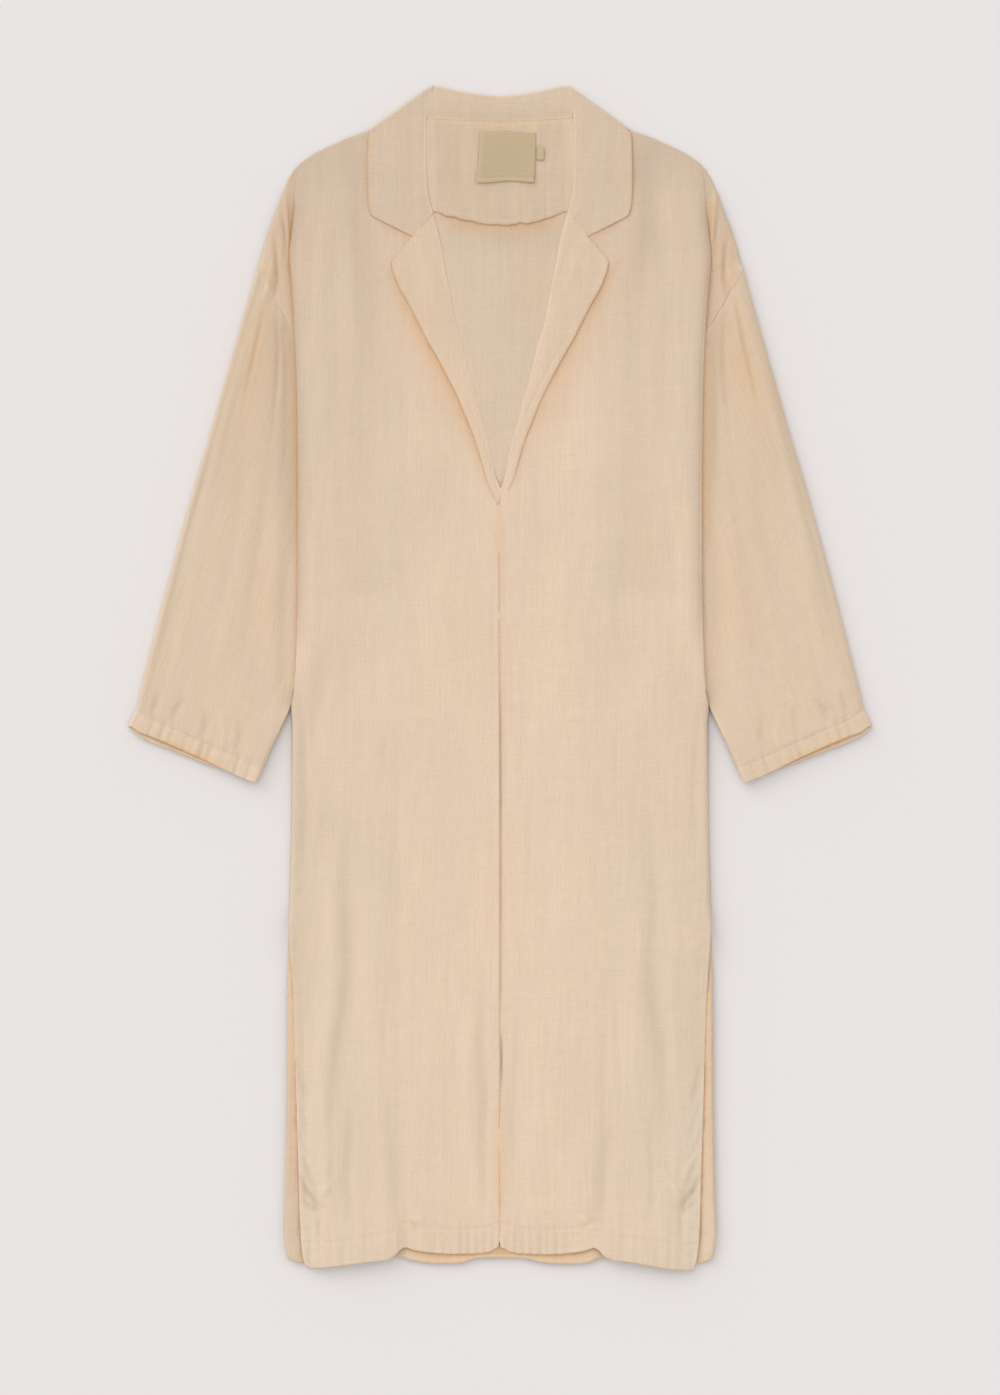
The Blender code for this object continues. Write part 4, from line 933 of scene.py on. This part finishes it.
LAPEL = [   # along, a_roll, d_roll, a_out, d_out
    (0.0, 67.0, 127.5, 109.0, 177.0),
    (0.10, 60.0, 155.0, 106.5, 188.0),
    (0.20, 55.5, 180.0, 101.0, 202.0),
    (0.30, 50.0, 208.0, 92.0, 218.0),
    (0.40, 45.0, 235.0, 82.5, 236.5),
    (0.47, 39.0, 255.0, 73.0, 255.0),
    (0.54, 34.0, 275.0, 61.5, 275.0),
    (0.61, 29.0, 295.0, 51.0, 295.0),
    (0.68, 23.0, 315.0, 41.0, 315.0),
    (0.75, 18.0, 335.0, 33.0, 335.0),
    (0.82, 12.0, 355.0, 25.0, 355.0),
    (0.88, 8.0, 375.0, 19.0, 375.0),
    (0.94, 3.6, 395.0, 13.6, 395.0),
    (0.975, -0.1, 407.0, 8.6, 408.0),
    (1.0, -0.3, 418.0, 2.2, 421.0),
]
L_AR, L_DR, L_AO, L_DO = (Curve([(r[0], r[k]) for r in LAPEL]) for k in (1, 2, 3, 4))


def lapel(word, side):
    t = np.linspace(0.0, 1.0, 150)
    ar, dr, ao, do = L_AR(t), L_DR(t), L_AO(t), L_DO(t)
    if side < 0:                              # the right one lies over the left where they meet
        ar = ar - 1.1 * smooth((t - 0.92) / 0.05)
    NS, NR, NF = 6, 8, 48
    a_seam = np.maximum(INNER(dr) - 0.35, ar + 1.6)
    z_in = back_z(ar, dr) + 1.15              # under cloth of the roll, on the back
    close = smooth((t - 0.90) / 0.07)         # the roll climbs on to the fronts where they meet
    z_in = z_in + (front_z(np.maximum(ar, 1.0), dr, side) + 0.1 - z_in) * 0.85 * close
    r_in = 0.07
    z_up = z_in + 2.0 * r_in
    tail = 1.0 - smooth((t - 0.90) / 0.10)
    P = np.zeros((len(t), NS + NR + NF, 3))
    wall = np.full((len(t), NS + NR + NF), 0.15)
    k = np.arange(NS) / NS
    P[:, :NS, 0] = a_seam[:, None] + (ar + r_in - a_seam)[:, None] * k[None, :]
    P[:, :NS, 1] = dr[:, None]
    z_seam = np.minimum(front_z(a_seam, dr, side) + 0.1, z_in + 0.9)
    P[:, :NS, 2] = z_seam[:, None] + (z_in - z_seam)[:, None] * smooth(k)[None, :]
    th = np.pi * np.arange(NR) / (NR - 1)
    P[:, NS:NS + NR, 0] = (ar + r_in)[:, None] - r_in * np.sin(th)[None, :]
    P[:, NS:NS + NR, 1] = dr[:, None]
    P[:, NS:NS + NR, 2] = z_in[:, None] + r_in * (1 - np.cos(th))[None, :]
    u = spaced(NF, 0.2)[1:]
    a = (ar + r_in)[:, None] + (ao - ar - r_in)[:, None] * u[None, :]
    d = dr[:, None] + (do - dr)[:, None] * u[None, :]
    tip = (1.0 - smooth(t / 0.035))[:, None] * smooth((u - 0.93) / 0.07)[None, :]
    a, d = a - 0.7 * tip, d + 0.25 * tip
    reach = np.hypot(ao - ar, do - dr)
    go = reach[:, None] * u[None, :]
    belly = 0.3 * np.sin(np.pi * np.clip(t * 0.93 + 0.04, 0, 1)) ** 0.6
    on = front_z(a, d, side) + 1.2 * tail[:, None] + 0.55 * (1 - tail[:, None]) + belly[:, None] * smooth(u)[None, :]
    z = z_up[:, None] + (on - z_up[:, None]) * (1.0 - np.exp(-go / 4.5))
    gap = reach[:, None] * (1.0 - u[None, :])
    rim = smooth(reach / 12.0)[:, None]
    z = z + rim * (0.20 * np.exp(-((gap - 2.2) / 1.8) ** 2)
                   - 0.34 * np.exp(-((gap - 8.5) / 1.2) ** 2) * smooth((t - 0.36) / 0.2)[:, None])
    z = z + crinkle(a * side + 300.0, d, 71, 0.8) * smooth(u * 4.0)[None, :] * tail[:, None]
    px, py = 500.0 + side * a, 85.0 + d
    fold = LAPEL_CREASES if side < 0 else mirrored(LAPEL_CREASES)
    relief = RELIEF * creases(px, py, fold) * smooth(go / 6.0)
    z = z + relief
    dive = (1.0 - smooth(t / 0.07))[:, None] * (1.0 - smooth((u - 0.36) / 0.06))[None, :]
    z = z - 0.22 * dive
    P[:, NS + NR:] = np.stack([a, d, z], 2)
    wall[:, NS + NR:] = 0.15 + (DOUBLE - 0.15) * smooth(go / 14.0) * (0.35 + 0.65 * tail[:, None]) * (1.0 - 0.7 * dive) \
        * (1.0 - 0.40 * np.exp(-(gap / 2.2) ** 2))
    # hidden strip of the gorge, under the collar
    up = np.array([6.0, 3.0])
    P_up = np.repeat(P[:1], 2, 0)
    hidden = np.concatenate([np.zeros(NS + NR), 1.0 - smooth((u - 0.36) / 0.06)])
    for i, h in enumerate(up):
        P_up[i, :, 1] -= h * hidden
        P_up[i, :, 2] -= 0.9 * hidden * (h / 3.0).clip(0, 1) if np.ndim(h) else 0.9 * hidden * min(h / 3.0, 1.0)
    P_up[:, :, 0] += 0.02 * np.array([2.0, 1.0])[:, None]
    P_up[:, :, 1] -= 0.03 * np.array([2.0, 1.0])[:, None]
    P = np.concatenate([P_up, P], 0)
    wall = np.concatenate([np.repeat(wall[:1], 2, 0) * (1 - 0.5 * hidden[None, :]), wall], 0)
    grain = P[:, :, :2].copy() + 700.0
    tone = 0.945 + 0.012 * noise(P[:, :, 0] / 14.0, P[:, :, 1] / 50.0, 72)
    # painted light on the lower part of the viewer's left lapel, which leans away from the light
    if side < 0:
        tone[2:] += 0.045 * smooth((t - 0.40) / 0.25)[:, None]
    tone = tone[..., None] * np.array([1.0, 0.985, 0.965])
    if side > 0:
        tone[2:, NS + NR:] *= 1.0 - 0.032 * ((1.0 - smooth((px - 566.0) / 16.0)) * smooth((py - 212.0) / 14.0) * (1.0 - smooth((py - 282.0) / 24.0)))[..., None]
    # painted warm shade along the outer edge and painted light on the roll
    rim = np.exp(-(gap / 1.6) ** 2)[..., None]
    tone[:, NS:NS + NR + 3] *= 1.045
    tone[2:, NS + NR:] *= (1.0 - rim * np.array([0.02, 0.15, 0.30])) * shade(relief)
    P[:, :, 0] *= side
    return shell("lapel_%s_cloth" % word, P, wall, grain, tone)


LAPEL_CREASES = [
    ([(424, 228), (434, 256), (443, 284), (448, 310)], 2.6, 4.0, -0.3),
    ([(418, 240), (426, 268), (436, 300)], 4.0, 5.0, 0.5),
]


COLLAR = [   # along, a_seam, d_seam, a_roll, d_roll, a_out, d_out, turn
    (0.0, 0.0, 36.6, 0.0, 12.6, 0.0, 57.0, 0.0),
    (1.0, 26.0, 35.7, 26.0, 9.8, 26.0, 57.0, 0.0),
    (2.0, 50.0, 34.5, 50.0, 5.0, 52.0, 56.5, 0.0),
    (3.0, 74.0, 32.6, 60.0, 2.6, 90.0, 52.0, 0.0),
    (4.0, 98.0, 22.5, 67.3, 2.0, 128.2, 46.0, 0.0),
    (5.0, 98.0, 22.5, 67.3, 2.0, 128.2, 46.0, 180.0),
    (6.0, 96.5, 34.0, 71.0, 14.5, 131.4, 49.8, 180.0),
    (7.0, 94.4, 56.0, 73.6, 36.0, 132.0, 63.0, 180.0),
    (8.0, 93.2, 80.0, 74.0, 75.0, 132.6, 90.0, 180.0),
    (9.0, 91.3, 104.0, 72.6, 106.0, 131.8, 116.0, 180.0),
    (10.0, 77.5, 124.0, 66.6, 128.6, 129.5, 130.5, 180.0),
]
COLLAR_CURVES = [Curve([(r[0], r[k]) for r in COLLAR]) for k in range(1, 7)]


def collar():
    t = np.concatenate([np.linspace(0, 4, 44)[:-1], np.linspace(4, 5, 15)[:-1], np.linspace(5, 10, 90)])
    asm, dsm, arl, drl, aot, dot = (c(t) for c in COLLAR_CURVES)
    turn = np.pi * np.clip(t - 4.0, 0, 1)
    mix, out = (1 - np.cos(turn)) / 2.0, np.sin(turn)
    fold_a, fold_d = 0.586, -0.810
    ea, ed = arl - asm, drl - dsm
    ln = np.hypot(ea, ed)
    ea, ed = ea / ln, ed / ln
    roll_r = 0.15
    a_in, d_in = arl - ea * roll_r, drl - ed * roll_r
    last = smooth((t - 9.0))
    under = back_z(arl, drl) + 1.95 - 0.70 * smooth((t - 8.6) / 1.4)
    z_roll = under + 2.0 * roll_r
    NS, NR, NF = 16, 9, 52

    def folded(a, d, zb, za):
        r = 0.5 * (za - zb)
        return (a + fold_a * r * out[:, None], d + fold_d * r * out[:, None], zb + (za - zb) * mix[:, None])

    k = np.linspace(0, 1, NS)[None, :]
    sa = asm[:, None] + (a_in - asm)[:, None] * k
    sd = dsm[:, None] + (d_in - dsm)[:, None] * k
    inside = 2.72 + 0.31 * smooth(k * 4.0) + 0.9 * np.sin(np.pi * k) * (1 - mix)[:, None]
    stand = np.stack(folded(sa, sd, inside + 0 * sa, under[:, None] + 0 * sa), 2)
    u = spaced(NF - 1, 0.3)[None, :]
    fa = a_in[:, None] + (aot - a_in)[:, None] * u
    fd = d_in[:, None] + (dot - d_in)[:, None] * u
    # the free end: down the gorge to the notch, then out to the tip
    end = smooth((t - 8.6) / 1.4)[:, None] ** 1.5
    notch_a, notch_d = 87.0, 151.6
    un = 0.40
    ga = np.where(u <= un, a_in[:, None] + (notch_a - a_in[:, None]) * u / un,
                  notch_a + (aot[:, None] - notch_a) * (u - un) / (1 - un))
    gd = np.where(u <= un, d_in[:, None] + (notch_d - d_in[:, None]) * u / un,
                  notch_d + (dot[:, None] - notch_d) * (u - un) / (1 - un))
    fa, fd = fa + (ga - fa) * end, fd + (gd - fd) * end
    # rounded collar point
    corner = smooth((t[:, None] - 9.70) / 0.30) * smooth((u - 0.93) / 0.07)
    fa, fd = fa - 0.8 * corner, fd - 0.6 * corner
    on = front_z(fa, fd, 1.0) + 1.2
    gap = (1.0 - u) * np.hypot(aot - a_in, dot - d_in)[:, None]
    gap_in = u * np.hypot(aot - a_in, dot - d_in)[:, None]
    after = on + (z_roll[:, None] - on) * np.exp(-gap_in / 7.0) + 0.2 * smooth(u) * smooth((t[:, None] - 5.5) / 2.0) * (1.0 - end * (1.0 - smooth((u - 0.40) / 0.15)))
    after = after + 0.15 * np.exp(-((gap - 2.0) / 1.8) ** 2)
    end_gap = (10.0 - t)[:, None] * 22.0
    after = after + 0.15 * np.exp(-((end_gap - 2.0) / 1.8) ** 2) * smooth((u - 0.42) / 0.1)
    fall = np.stack(folded(fa, fd, 0.8 + 0 * fa, after), 2)
    p, q = stand[:, -1], fall[:, 0]
    half = (q - p) / 2.0
    r = np.linalg.norm(half, axis=1)
    roll = []
    for th in np.pi * np.arange(1, NR + 1) / (NR + 1):
        c, n = 1.0 - math.cos(th), math.sin(th)
        roll.append(np.stack([p[:, 0] + half[:, 0] * c + ea * r * n, p[:, 1] + half[:, 1] * c + ed * r * n,
                              p[:, 2] + half[:, 2] * c], 1))
    P = np.concatenate([stand, np.stack(roll, 1), fall], 1)
    left = P[::-1].copy()
    left[:, :, 0] *= -1.0
    grain_r = P[:, :, :2].copy()
    grain_l = left[:, :, :2].copy()
    P = np.concatenate([left[:-1], P], 0)
    grain = np.concatenate([grain_l[:-1], grain_r], 0) + 1400.0
    flat_x, flat_d = P[:, :, 0], P[:, :, 1]
    level = crinkle(flat_x, flat_d, 81, 0.7)
    weight = np.zeros(P.shape[:2])
    weight[:, 3:] = 1.0
    free = np.concatenate([(smooth((t - 5.4) / 1.0) * 1.0)[::-1][:-1], smooth((t - 5.4) / 1.0)])[:, None]
    P[:, :, 2] += level * weight * np.maximum(free, 0.0)
    P[:, :, 2] += creases(500.0 + P[:, :, 0], 85.0 + P[:, :, 1], COLLAR_CREASES + mirrored(COLLAR_CREASES)) * free
    tone = 0.885 + 0.012 * noise(flat_x / 14.0, flat_d / 60.0, 82)
    tone = tone[..., None] * np.array([1.0, 0.992, 0.975])
    # painted warm shade along the outer edge and the free end
    rim = np.exp(-(gap / 1.6) ** 2) * smooth((t[:, None] - 5.2) / 0.6) + np.exp(-(end_gap / 1.6) ** 2) * smooth((u - 0.40) / 0.1)
    rim = np.concatenate([rim[::-1][:-1], rim], 0).clip(0, 1)[..., None]
    tone[:, NS + NR:] *= 1.0 - rim * np.array([0.02, 0.15, 0.30])
    thin = np.full((len(t), NS + NR + NF), 0.25)
    thin[:, :NS - 3] = np.minimum(0.14 + 0.12 * np.arange(NS - 3), 0.8)[None, :]
    thin[:, NS + NR:] = 0.25 + (DOUBLE - 0.25) * smooth(gap_in / 16.0)
    thin[:, NS + NR:] *= 1.0 - 0.82 * end * (1.0 - smooth((u - 0.36) / 0.12))
    thin[:, NS + NR:] *= 1.0 - 0.45 * np.exp(-(gap / 2.2) ** 2)
    thin = np.concatenate([thin[::-1][:-1], thin], 0)
    # painted light on the roll and along the stand's seam edge
    tone[:, NS - 1:NS + NR + 3] *= 1.065
    tone[:, :2] *= np.array([1.07, 1.04, 1.0])
    return shell("collar_cloth", P, thin, grain, tone, crisp=np.arange(P.shape[1])[None, :] + 0 * tone[:, :, 0] < 1)


COLLAR_CREASES = [
    ([(414, 96), (413, 130), (416, 170), (412, 205)], 4.0, 5.0, -0.6),
    ([(396, 115), (394, 150), (398, 195)], 6.0, 7.0, 0.5),
    ([(420, 205), (424, 214), (428, 222)], 2.5, 3.0, 0.6),
]


def neck_facing():
    amax = Curve([(0.0, 77.0), (0.2, 77.5), (0.45, 77.5), (0.75, 76.0), (0.9, 72.0), (1.0, 68.0)])
    low = Curve([(-66.0, 126.5), (-30.0, 136.5), (0.0, 140.0), (33.0, 137.0), (66.0, 126.5)])
    v = np.concatenate([np.linspace(0, 0.8, 40)[:-1], np.linspace(0.8, 1.0, 16)])
    u = np.linspace(-1, 1, 90)
    X = amax(v)[:, None] * u[None, :]
    A = np.abs(X)
    top = np.interp(A, [0.0, 60.0, 98.0], [35.4, 32.9, 29.4])
    edge = low(X) + (0.9 * noise(X / 8.0, 0.4, 95) + 0.5 * noise(X / 3.7, 0.8, 96)) * (1.0 - smooth((A - 54.0) / 10.0))
    D = top + (edge - top) * v[:, None]
    up = edge - D
    tuck = smooth((A - 50.0) / 14.0) * smooth((v - 0.6) / 0.4)[:, None]
    Z = back_z(A, D) + PITCH - 0.25 + 0.15 * (1.0 - smooth(up / 34.0)) * (1.0 - smooth((A - 46.0) / 18.0)) - 0.65 * tuck
    Z = Z - 0.38 * (1.0 - smooth(v * 10.0))[:, None]
    Z = Z + crinkle(X, D, 91, 0.9) * smooth((v * 6.0))[:, None] * (1.0 - smooth((A - 58.0) / 8.0))
    Z = Z + creases(500.0 + X, 85.0 + D, FACING_CREASES) * (1.0 - smooth((A - 58.0) / 8.0))
    Z = Z - 0.25 * np.exp(-((up - 7.0) / 1.4) ** 2)
    P = np.stack([X, D, Z], 2)
    tone = 0.86 + 0.02 * noise(X / 9.0, D / 70.0, 92) + 0.022 * noise(X / 4.0, D / 45.0, 93) + 0.05 * smooth((A - 63.0) / 3.0)
    tone = tone[..., None] * np.array([1.0, 0.985, 0.945])
    # painted warm shade along the lower edge; painted light along the top rows under the stand
    tone = tone * (1.0 - np.exp(-(up / 1.6) ** 2)[..., None] * np.array([0.03, 0.16, 0.34]))
    tone[:3] *= np.array([1.06, 1.03, 1.0])
    wall = np.repeat((0.15 + (CLOTH - 0.15) * smooth((v - 0.02) / 0.10))[:, None], len(u), 1)
    return shell("neck_facing_cloth", P, wall, P[:, :, :2].copy() + 2100.0, tone)


FACING_CREASES = [
    ([(462, 128), (460, 160), (464, 205)], 4.0, 5.0, -0.7),
    ([(446, 128), (445, 165), (450, 205)], 5.0, 5.0, 0.5),
    ([(552, 128), (556, 165), (549, 205)], 4.5, 5.0, -0.6),
    ([(500, 190), (498, 205), (503, 220)], 5.0, 6.0, 0.5),
    ([(525, 190), (528, 205), (524, 219)], 4.0, 5.0, -0.6),
]


def label_piece():
    left = Curve([(0.0, -20.0), (0.5, -21.3), (1.0, -24.0)])
    right = Curve([(0.0, 36.0), (0.5, 35.6), (1.0, 34.0)])
    v, u = np.linspace(0, 1, 40), np.linspace(0, 1, 46)
    x0, x1 = left(v)[:, None], right(v)[:, None]
    X = x0 + (x1 - x0) * u[None, :]
    D = 46.4 + (97.0 - 46.4) * v[:, None] + 1.6 * u[None, :] * (1 - v[:, None]) \
        + 0.9 * np.sin(u[None, :] * 7.0 + 0.6) * v[:, None] + 0.5 * np.sin(u[None, :] * 9.0) * (1 - v[:, None])
    Z = back_z(np.abs(X), D) + PITCH + 1.0 + 0.5 * smooth((v[:, None] - 0.7) / 0.3) \
        + 0.35 * np.sin(u[None, :] * 5.0 + v[:, None] * 2.0)
    P = np.stack([X, D, Z], 2)
    # the folded bottom and left ends are a little lighter, with painted shade along each fold line
    fold = 0.07 * smooth((v - 0.90) / 0.03)[:, None] - 0.09 * np.exp(-((v - 0.885) / 0.012) ** 2)[:, None]
    end = 0.05 * (1.0 - smooth((u - 0.07) / 0.03))[None, :] - 0.06 * np.exp(-((u - 0.10) / 0.012) ** 2)[None, :]
    return shell("label_tape", P, 0.7, P[:, :, :2].copy(), 1.0 + fold + end, mottle=0.0)


def size_tab_piece():
    v, u = np.linspace(0, 1, 12), np.linspace(0, 1, 9)
    X = 36.3 + 7.4 * u[None, :] + 0.4 * np.sin(v[:, None] * 3.0)
    D = 62.0 + 13.0 * v[:, None] + 0.6 * u[None, :]
    Z = back_z(np.abs(X), D) + PITCH + 1.1 + 0.6 * u[None, :] ** 2
    P = np.stack([X, D, Z + 0 * X], 2)
    return shell("size_tab_tape", P, 0.6, P[:, :, :2].copy(), 1.03, mottle=0.0)


# ---------------------------------------------------------------- materials
def srgb(r, g, b):
    f = lambda c: c / 12.92 if c <= 0.04045 else ((c + 0.055) / 1.055) ** 2.4
    return (f(r / 255.0), f(g / 255.0), f(b / 255.0), 1.0)


class Nodes:
    def __init__(self, name):
        self.mat = bpy.data.materials.new(name)
        self.mat.use_nodes = True
        self.t = self.mat.node_tree
        self.shader = self.t.nodes["Principled BSDF"]

    def add(self, kind, **props):
        n = self.t.nodes.new(kind)
        for k, v in props.items():
            setattr(n, k, v)
        return n

    def link(self, a, b):
        self.t.links.new(a, b)

    def math(self, op, a, b):
        n = self.add("ShaderNodeMath", operation=op)
        for i, v in enumerate((a, b)):
            if isinstance(v, (int, float)):
                n.inputs[i].default_value = v
            else:
                self.link(v, n.inputs[i])
        return n.outputs[0]

    def noise(self, vector, scale, detail=2.0, rough=0.55):
        """Noise in cells per metre across and along the grain, about -1 to 1."""
        m = self.add("ShaderNodeMapping")
        m.inputs["Scale"].default_value = scale
        self.link(vector, m.inputs["Vector"])
        n = self.add("ShaderNodeTexNoise")
        n.inputs["Scale"].default_value = 1.0
        n.inputs["Detail"].default_value = detail
        n.inputs["Roughness"].default_value = rough
        self.link(m.outputs["Vector"], n.inputs["Vector"])
        return self.math("MULTIPLY", self.math("SUBTRACT", n.outputs["Fac"], 0.5), 4.0)


def linen(name, base, contrast=1.0):
    """Washed plain-weave linen: slubs along both threads, cloudy tone, soft sheen."""
    g = Nodes(name)
    at = g.add("ShaderNodeAttribute", attribute_name="grain")
    vec = at.outputs["Vector"]
    warp = g.noise(vec, (420.0, 16.0, 1.0), 3.0)
    rib = g.noise(vec, (190.0, 13.0, 1.0), 2.0)
    weft = g.noise(vec, (42.0, 400.0, 1.0), 3.0)
    warp_fine = g.noise(vec, (950.0, 90.0, 1.0), 2.0)
    weft_fine = g.noise(vec, (90.0, 950.0, 1.0), 2.0)
    cloud = g.noise(vec, (16.0, 9.0, 1.0), 3.0)
    grain = g.math("ADD", g.math("ADD", g.math("MULTIPLY", warp, 0.021 * contrast), g.math("MULTIPLY", rib, 0.016 * contrast)), g.math("MULTIPLY", weft, 0.015 * contrast))
    grain = g.math("ADD", grain, g.math("ADD", g.math("MULTIPLY", warp_fine, 0.022 * contrast),
                                        g.math("MULTIPLY", weft_fine, 0.012 * contrast)))
    grain = g.math("ADD", grain, g.math("MULTIPLY", cloud, 0.012 * contrast))
    factor = g.math("ADD", grain, 1.0)
    tone = g.add("ShaderNodeAttribute", attribute_name="tone")
    mix = g.add("ShaderNodeMix", data_type="RGBA", blend_type="MULTIPLY")
    mix.inputs["Factor"].default_value = 1.0
    mix.inputs["A"].default_value = base
    g.link(tone.outputs["Color"], mix.inputs["B"])
    # thicker threads are a little paler, thin places a little warmer
    scale = g.add("ShaderNodeVectorMath", operation="SCALE")
    g.link(mix.outputs["Result"], scale.inputs[0])
    g.link(factor, scale.inputs["Scale"])
    g.link(scale.outputs["Vector"], g.shader.inputs["Base Color"])
    rough = g.math("ADD", g.math("MULTIPLY", warp, -0.02), 0.93)
    g.link(rough, g.shader.inputs["Roughness"])
    g.shader.inputs["Specular IOR Level"].default_value = 0.2
    g.shader.inputs["Sheen Weight"].default_value = 0.12
    g.shader.inputs["Sheen Roughness"].default_value = 0.5
    bump = g.add("ShaderNodeBump")
    bump.inputs["Strength"].default_value = 0.45
    bump.inputs["Distance"].default_value = 0.0006
    height = g.math("ADD", g.math("MULTIPLY", warp, 0.6), g.math("MULTIPLY", weft, 0.3))
    height = g.math("ADD", height, g.math("ADD", g.math("MULTIPLY", warp_fine, 0.5), g.math("MULTIPLY", weft_fine, 0.4)))
    g.link(height, bump.inputs["Height"])
    g.link(bump.outputs["Normal"], g.shader.inputs["Normal"])
    return g.mat


def tape(name, base):
    """Smooth woven label tape: fine ribs and cloudy tone; the tone colour gives the folded ends, with painted shade
    along the folds.
    """
    g = Nodes(name)
    at = g.add("ShaderNodeAttribute", attribute_name="grain")
    ribs = g.noise(at.outputs["Vector"], (60.0, 900.0, 1.0), 2.0)
    cloud = g.noise(at.outputs["Vector"], (30.0, 26.0, 1.0), 2.0)
    factor = g.math("ADD", g.math("ADD", g.math("MULTIPLY", ribs, 0.02), g.math("MULTIPLY", cloud, 0.02)), 1.0)
    tone = g.add("ShaderNodeAttribute", attribute_name="tone")
    mix = g.add("ShaderNodeMix", data_type="RGBA", blend_type="MULTIPLY")
    mix.inputs["Factor"].default_value = 1.0
    mix.inputs["A"].default_value = base
    g.link(tone.outputs["Color"], mix.inputs["B"])
    scale = g.add("ShaderNodeVectorMath", operation="SCALE")
    g.link(mix.outputs["Result"], scale.inputs[0])
    g.link(factor, scale.inputs["Scale"])
    g.link(scale.outputs["Vector"], g.shader.inputs["Base Color"])
    g.shader.inputs["Roughness"].default_value = 0.7
    g.shader.inputs["Specular IOR Level"].default_value = 0.3
    g.shader.inputs["Sheen Weight"].default_value = 0.1
    bump = g.add("ShaderNodeBump")
    bump.inputs["Strength"].default_value = 0.3
    bump.inputs["Distance"].default_value = 0.0003
    g.link(ribs, bump.inputs["Height"])
    g.link(bump.outputs["Normal"], g.shader.inputs["Normal"])
    return g.mat


LINEN = linen("linen", srgb(226.8, 202.6, 178.2))
LINEN_COLLAR = linen("linen_collar", srgb(226.8, 203.2, 179.2))
TAPE = tape("label_tape_finish", srgb(193, 172, 139))

# -------------------------------------------------------------------- pieces
made = []


def put(ob, node, mat):
    ob.data.materials.append(mat)
    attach(ob, "root")
    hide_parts(node)
    made.append(ob)
    return ob


back = put(back_panel(), "back", LINEN)
for word, side in SIDES:
    put(front_panel(word, side), "front_" + word, LINEN)
    put(sleeve(word, side), "sleeve_" + word, LINEN)
    put(lapel(word, side), "lapel_" + word, LINEN_COLLAR)
put(collar(), "collar", LINEN_COLLAR)
put(neck_facing(), "neck_facing", LINEN_COLLAR)
put(label_piece(), "label", TAPE)
put(size_tab_piece(), "size_tab", TAPE)

# --------------------------------------------------------------------- stage
bpy.ops.mesh.primitive_plane_add(size=14.0, location=(0.0, 0.0, -0.0002))
floor = bpy.context.active_object
floor.name = "floor"
fm = Nodes("floor_paper")
fm.shader.inputs["Base Color"].default_value = (0.80, 0.768, 0.760, 1.0)
fm.shader.inputs["Roughness"].default_value = 1.0
fm.shader.inputs["Specular IOR Level"].default_value = 0.0
floor.data.materials.append(fm.mat)


def sun(name, towards, strength, spread):
    lamp = bpy.data.lights.new(name, "SUN")
    lamp.energy = strength
    lamp.angle = math.radians(spread)
    ob = bpy.data.objects.new(name, lamp)
    bpy.context.scene.collection.objects.link(ob)
    ob.rotation_euler = Vector(towards).to_track_quat("-Z", "Y").to_euler()
    return ob


sun("key", (0.26, -0.60, -1.0), 0.50, 58.0)
sun("rake", (0.80, -0.85, -0.46), 0.70, 40.0)

world = bpy.data.worlds.new("studio")
bpy.context.scene.world = world
world.use_nodes = True
world.node_tree.nodes["Background"].inputs["Color"].default_value = (1.0, 0.995, 0.99, 1.0)
world.node_tree.nodes["Background"].inputs["Strength"].default_value = 0.807

cam = bpy.data.cameras.new("camera")
cam.lens = 85.0
cam.sensor_width = 36.0
cam.sensor_fit = "AUTO"
cam.clip_end = 30.0
cam_ob = bpy.data.objects.new("camera", cam)
bpy.context.scene.collection.objects.link(cam_ob)
cam_ob.location = (0.0, (TOP - (697.5 - 85.0)) * MM, 1.395 * 85.0 / 36.0 + 0.003)
cam_ob.rotation_euler = (0.0, 0.0, 0.0)
bpy.context.scene.camera = cam_ob
bpy.context.scene.view_settings.view_transform = "Standard"
bpy.context.scene.view_settings.look = "None"

bpy.context.view_layer.update()
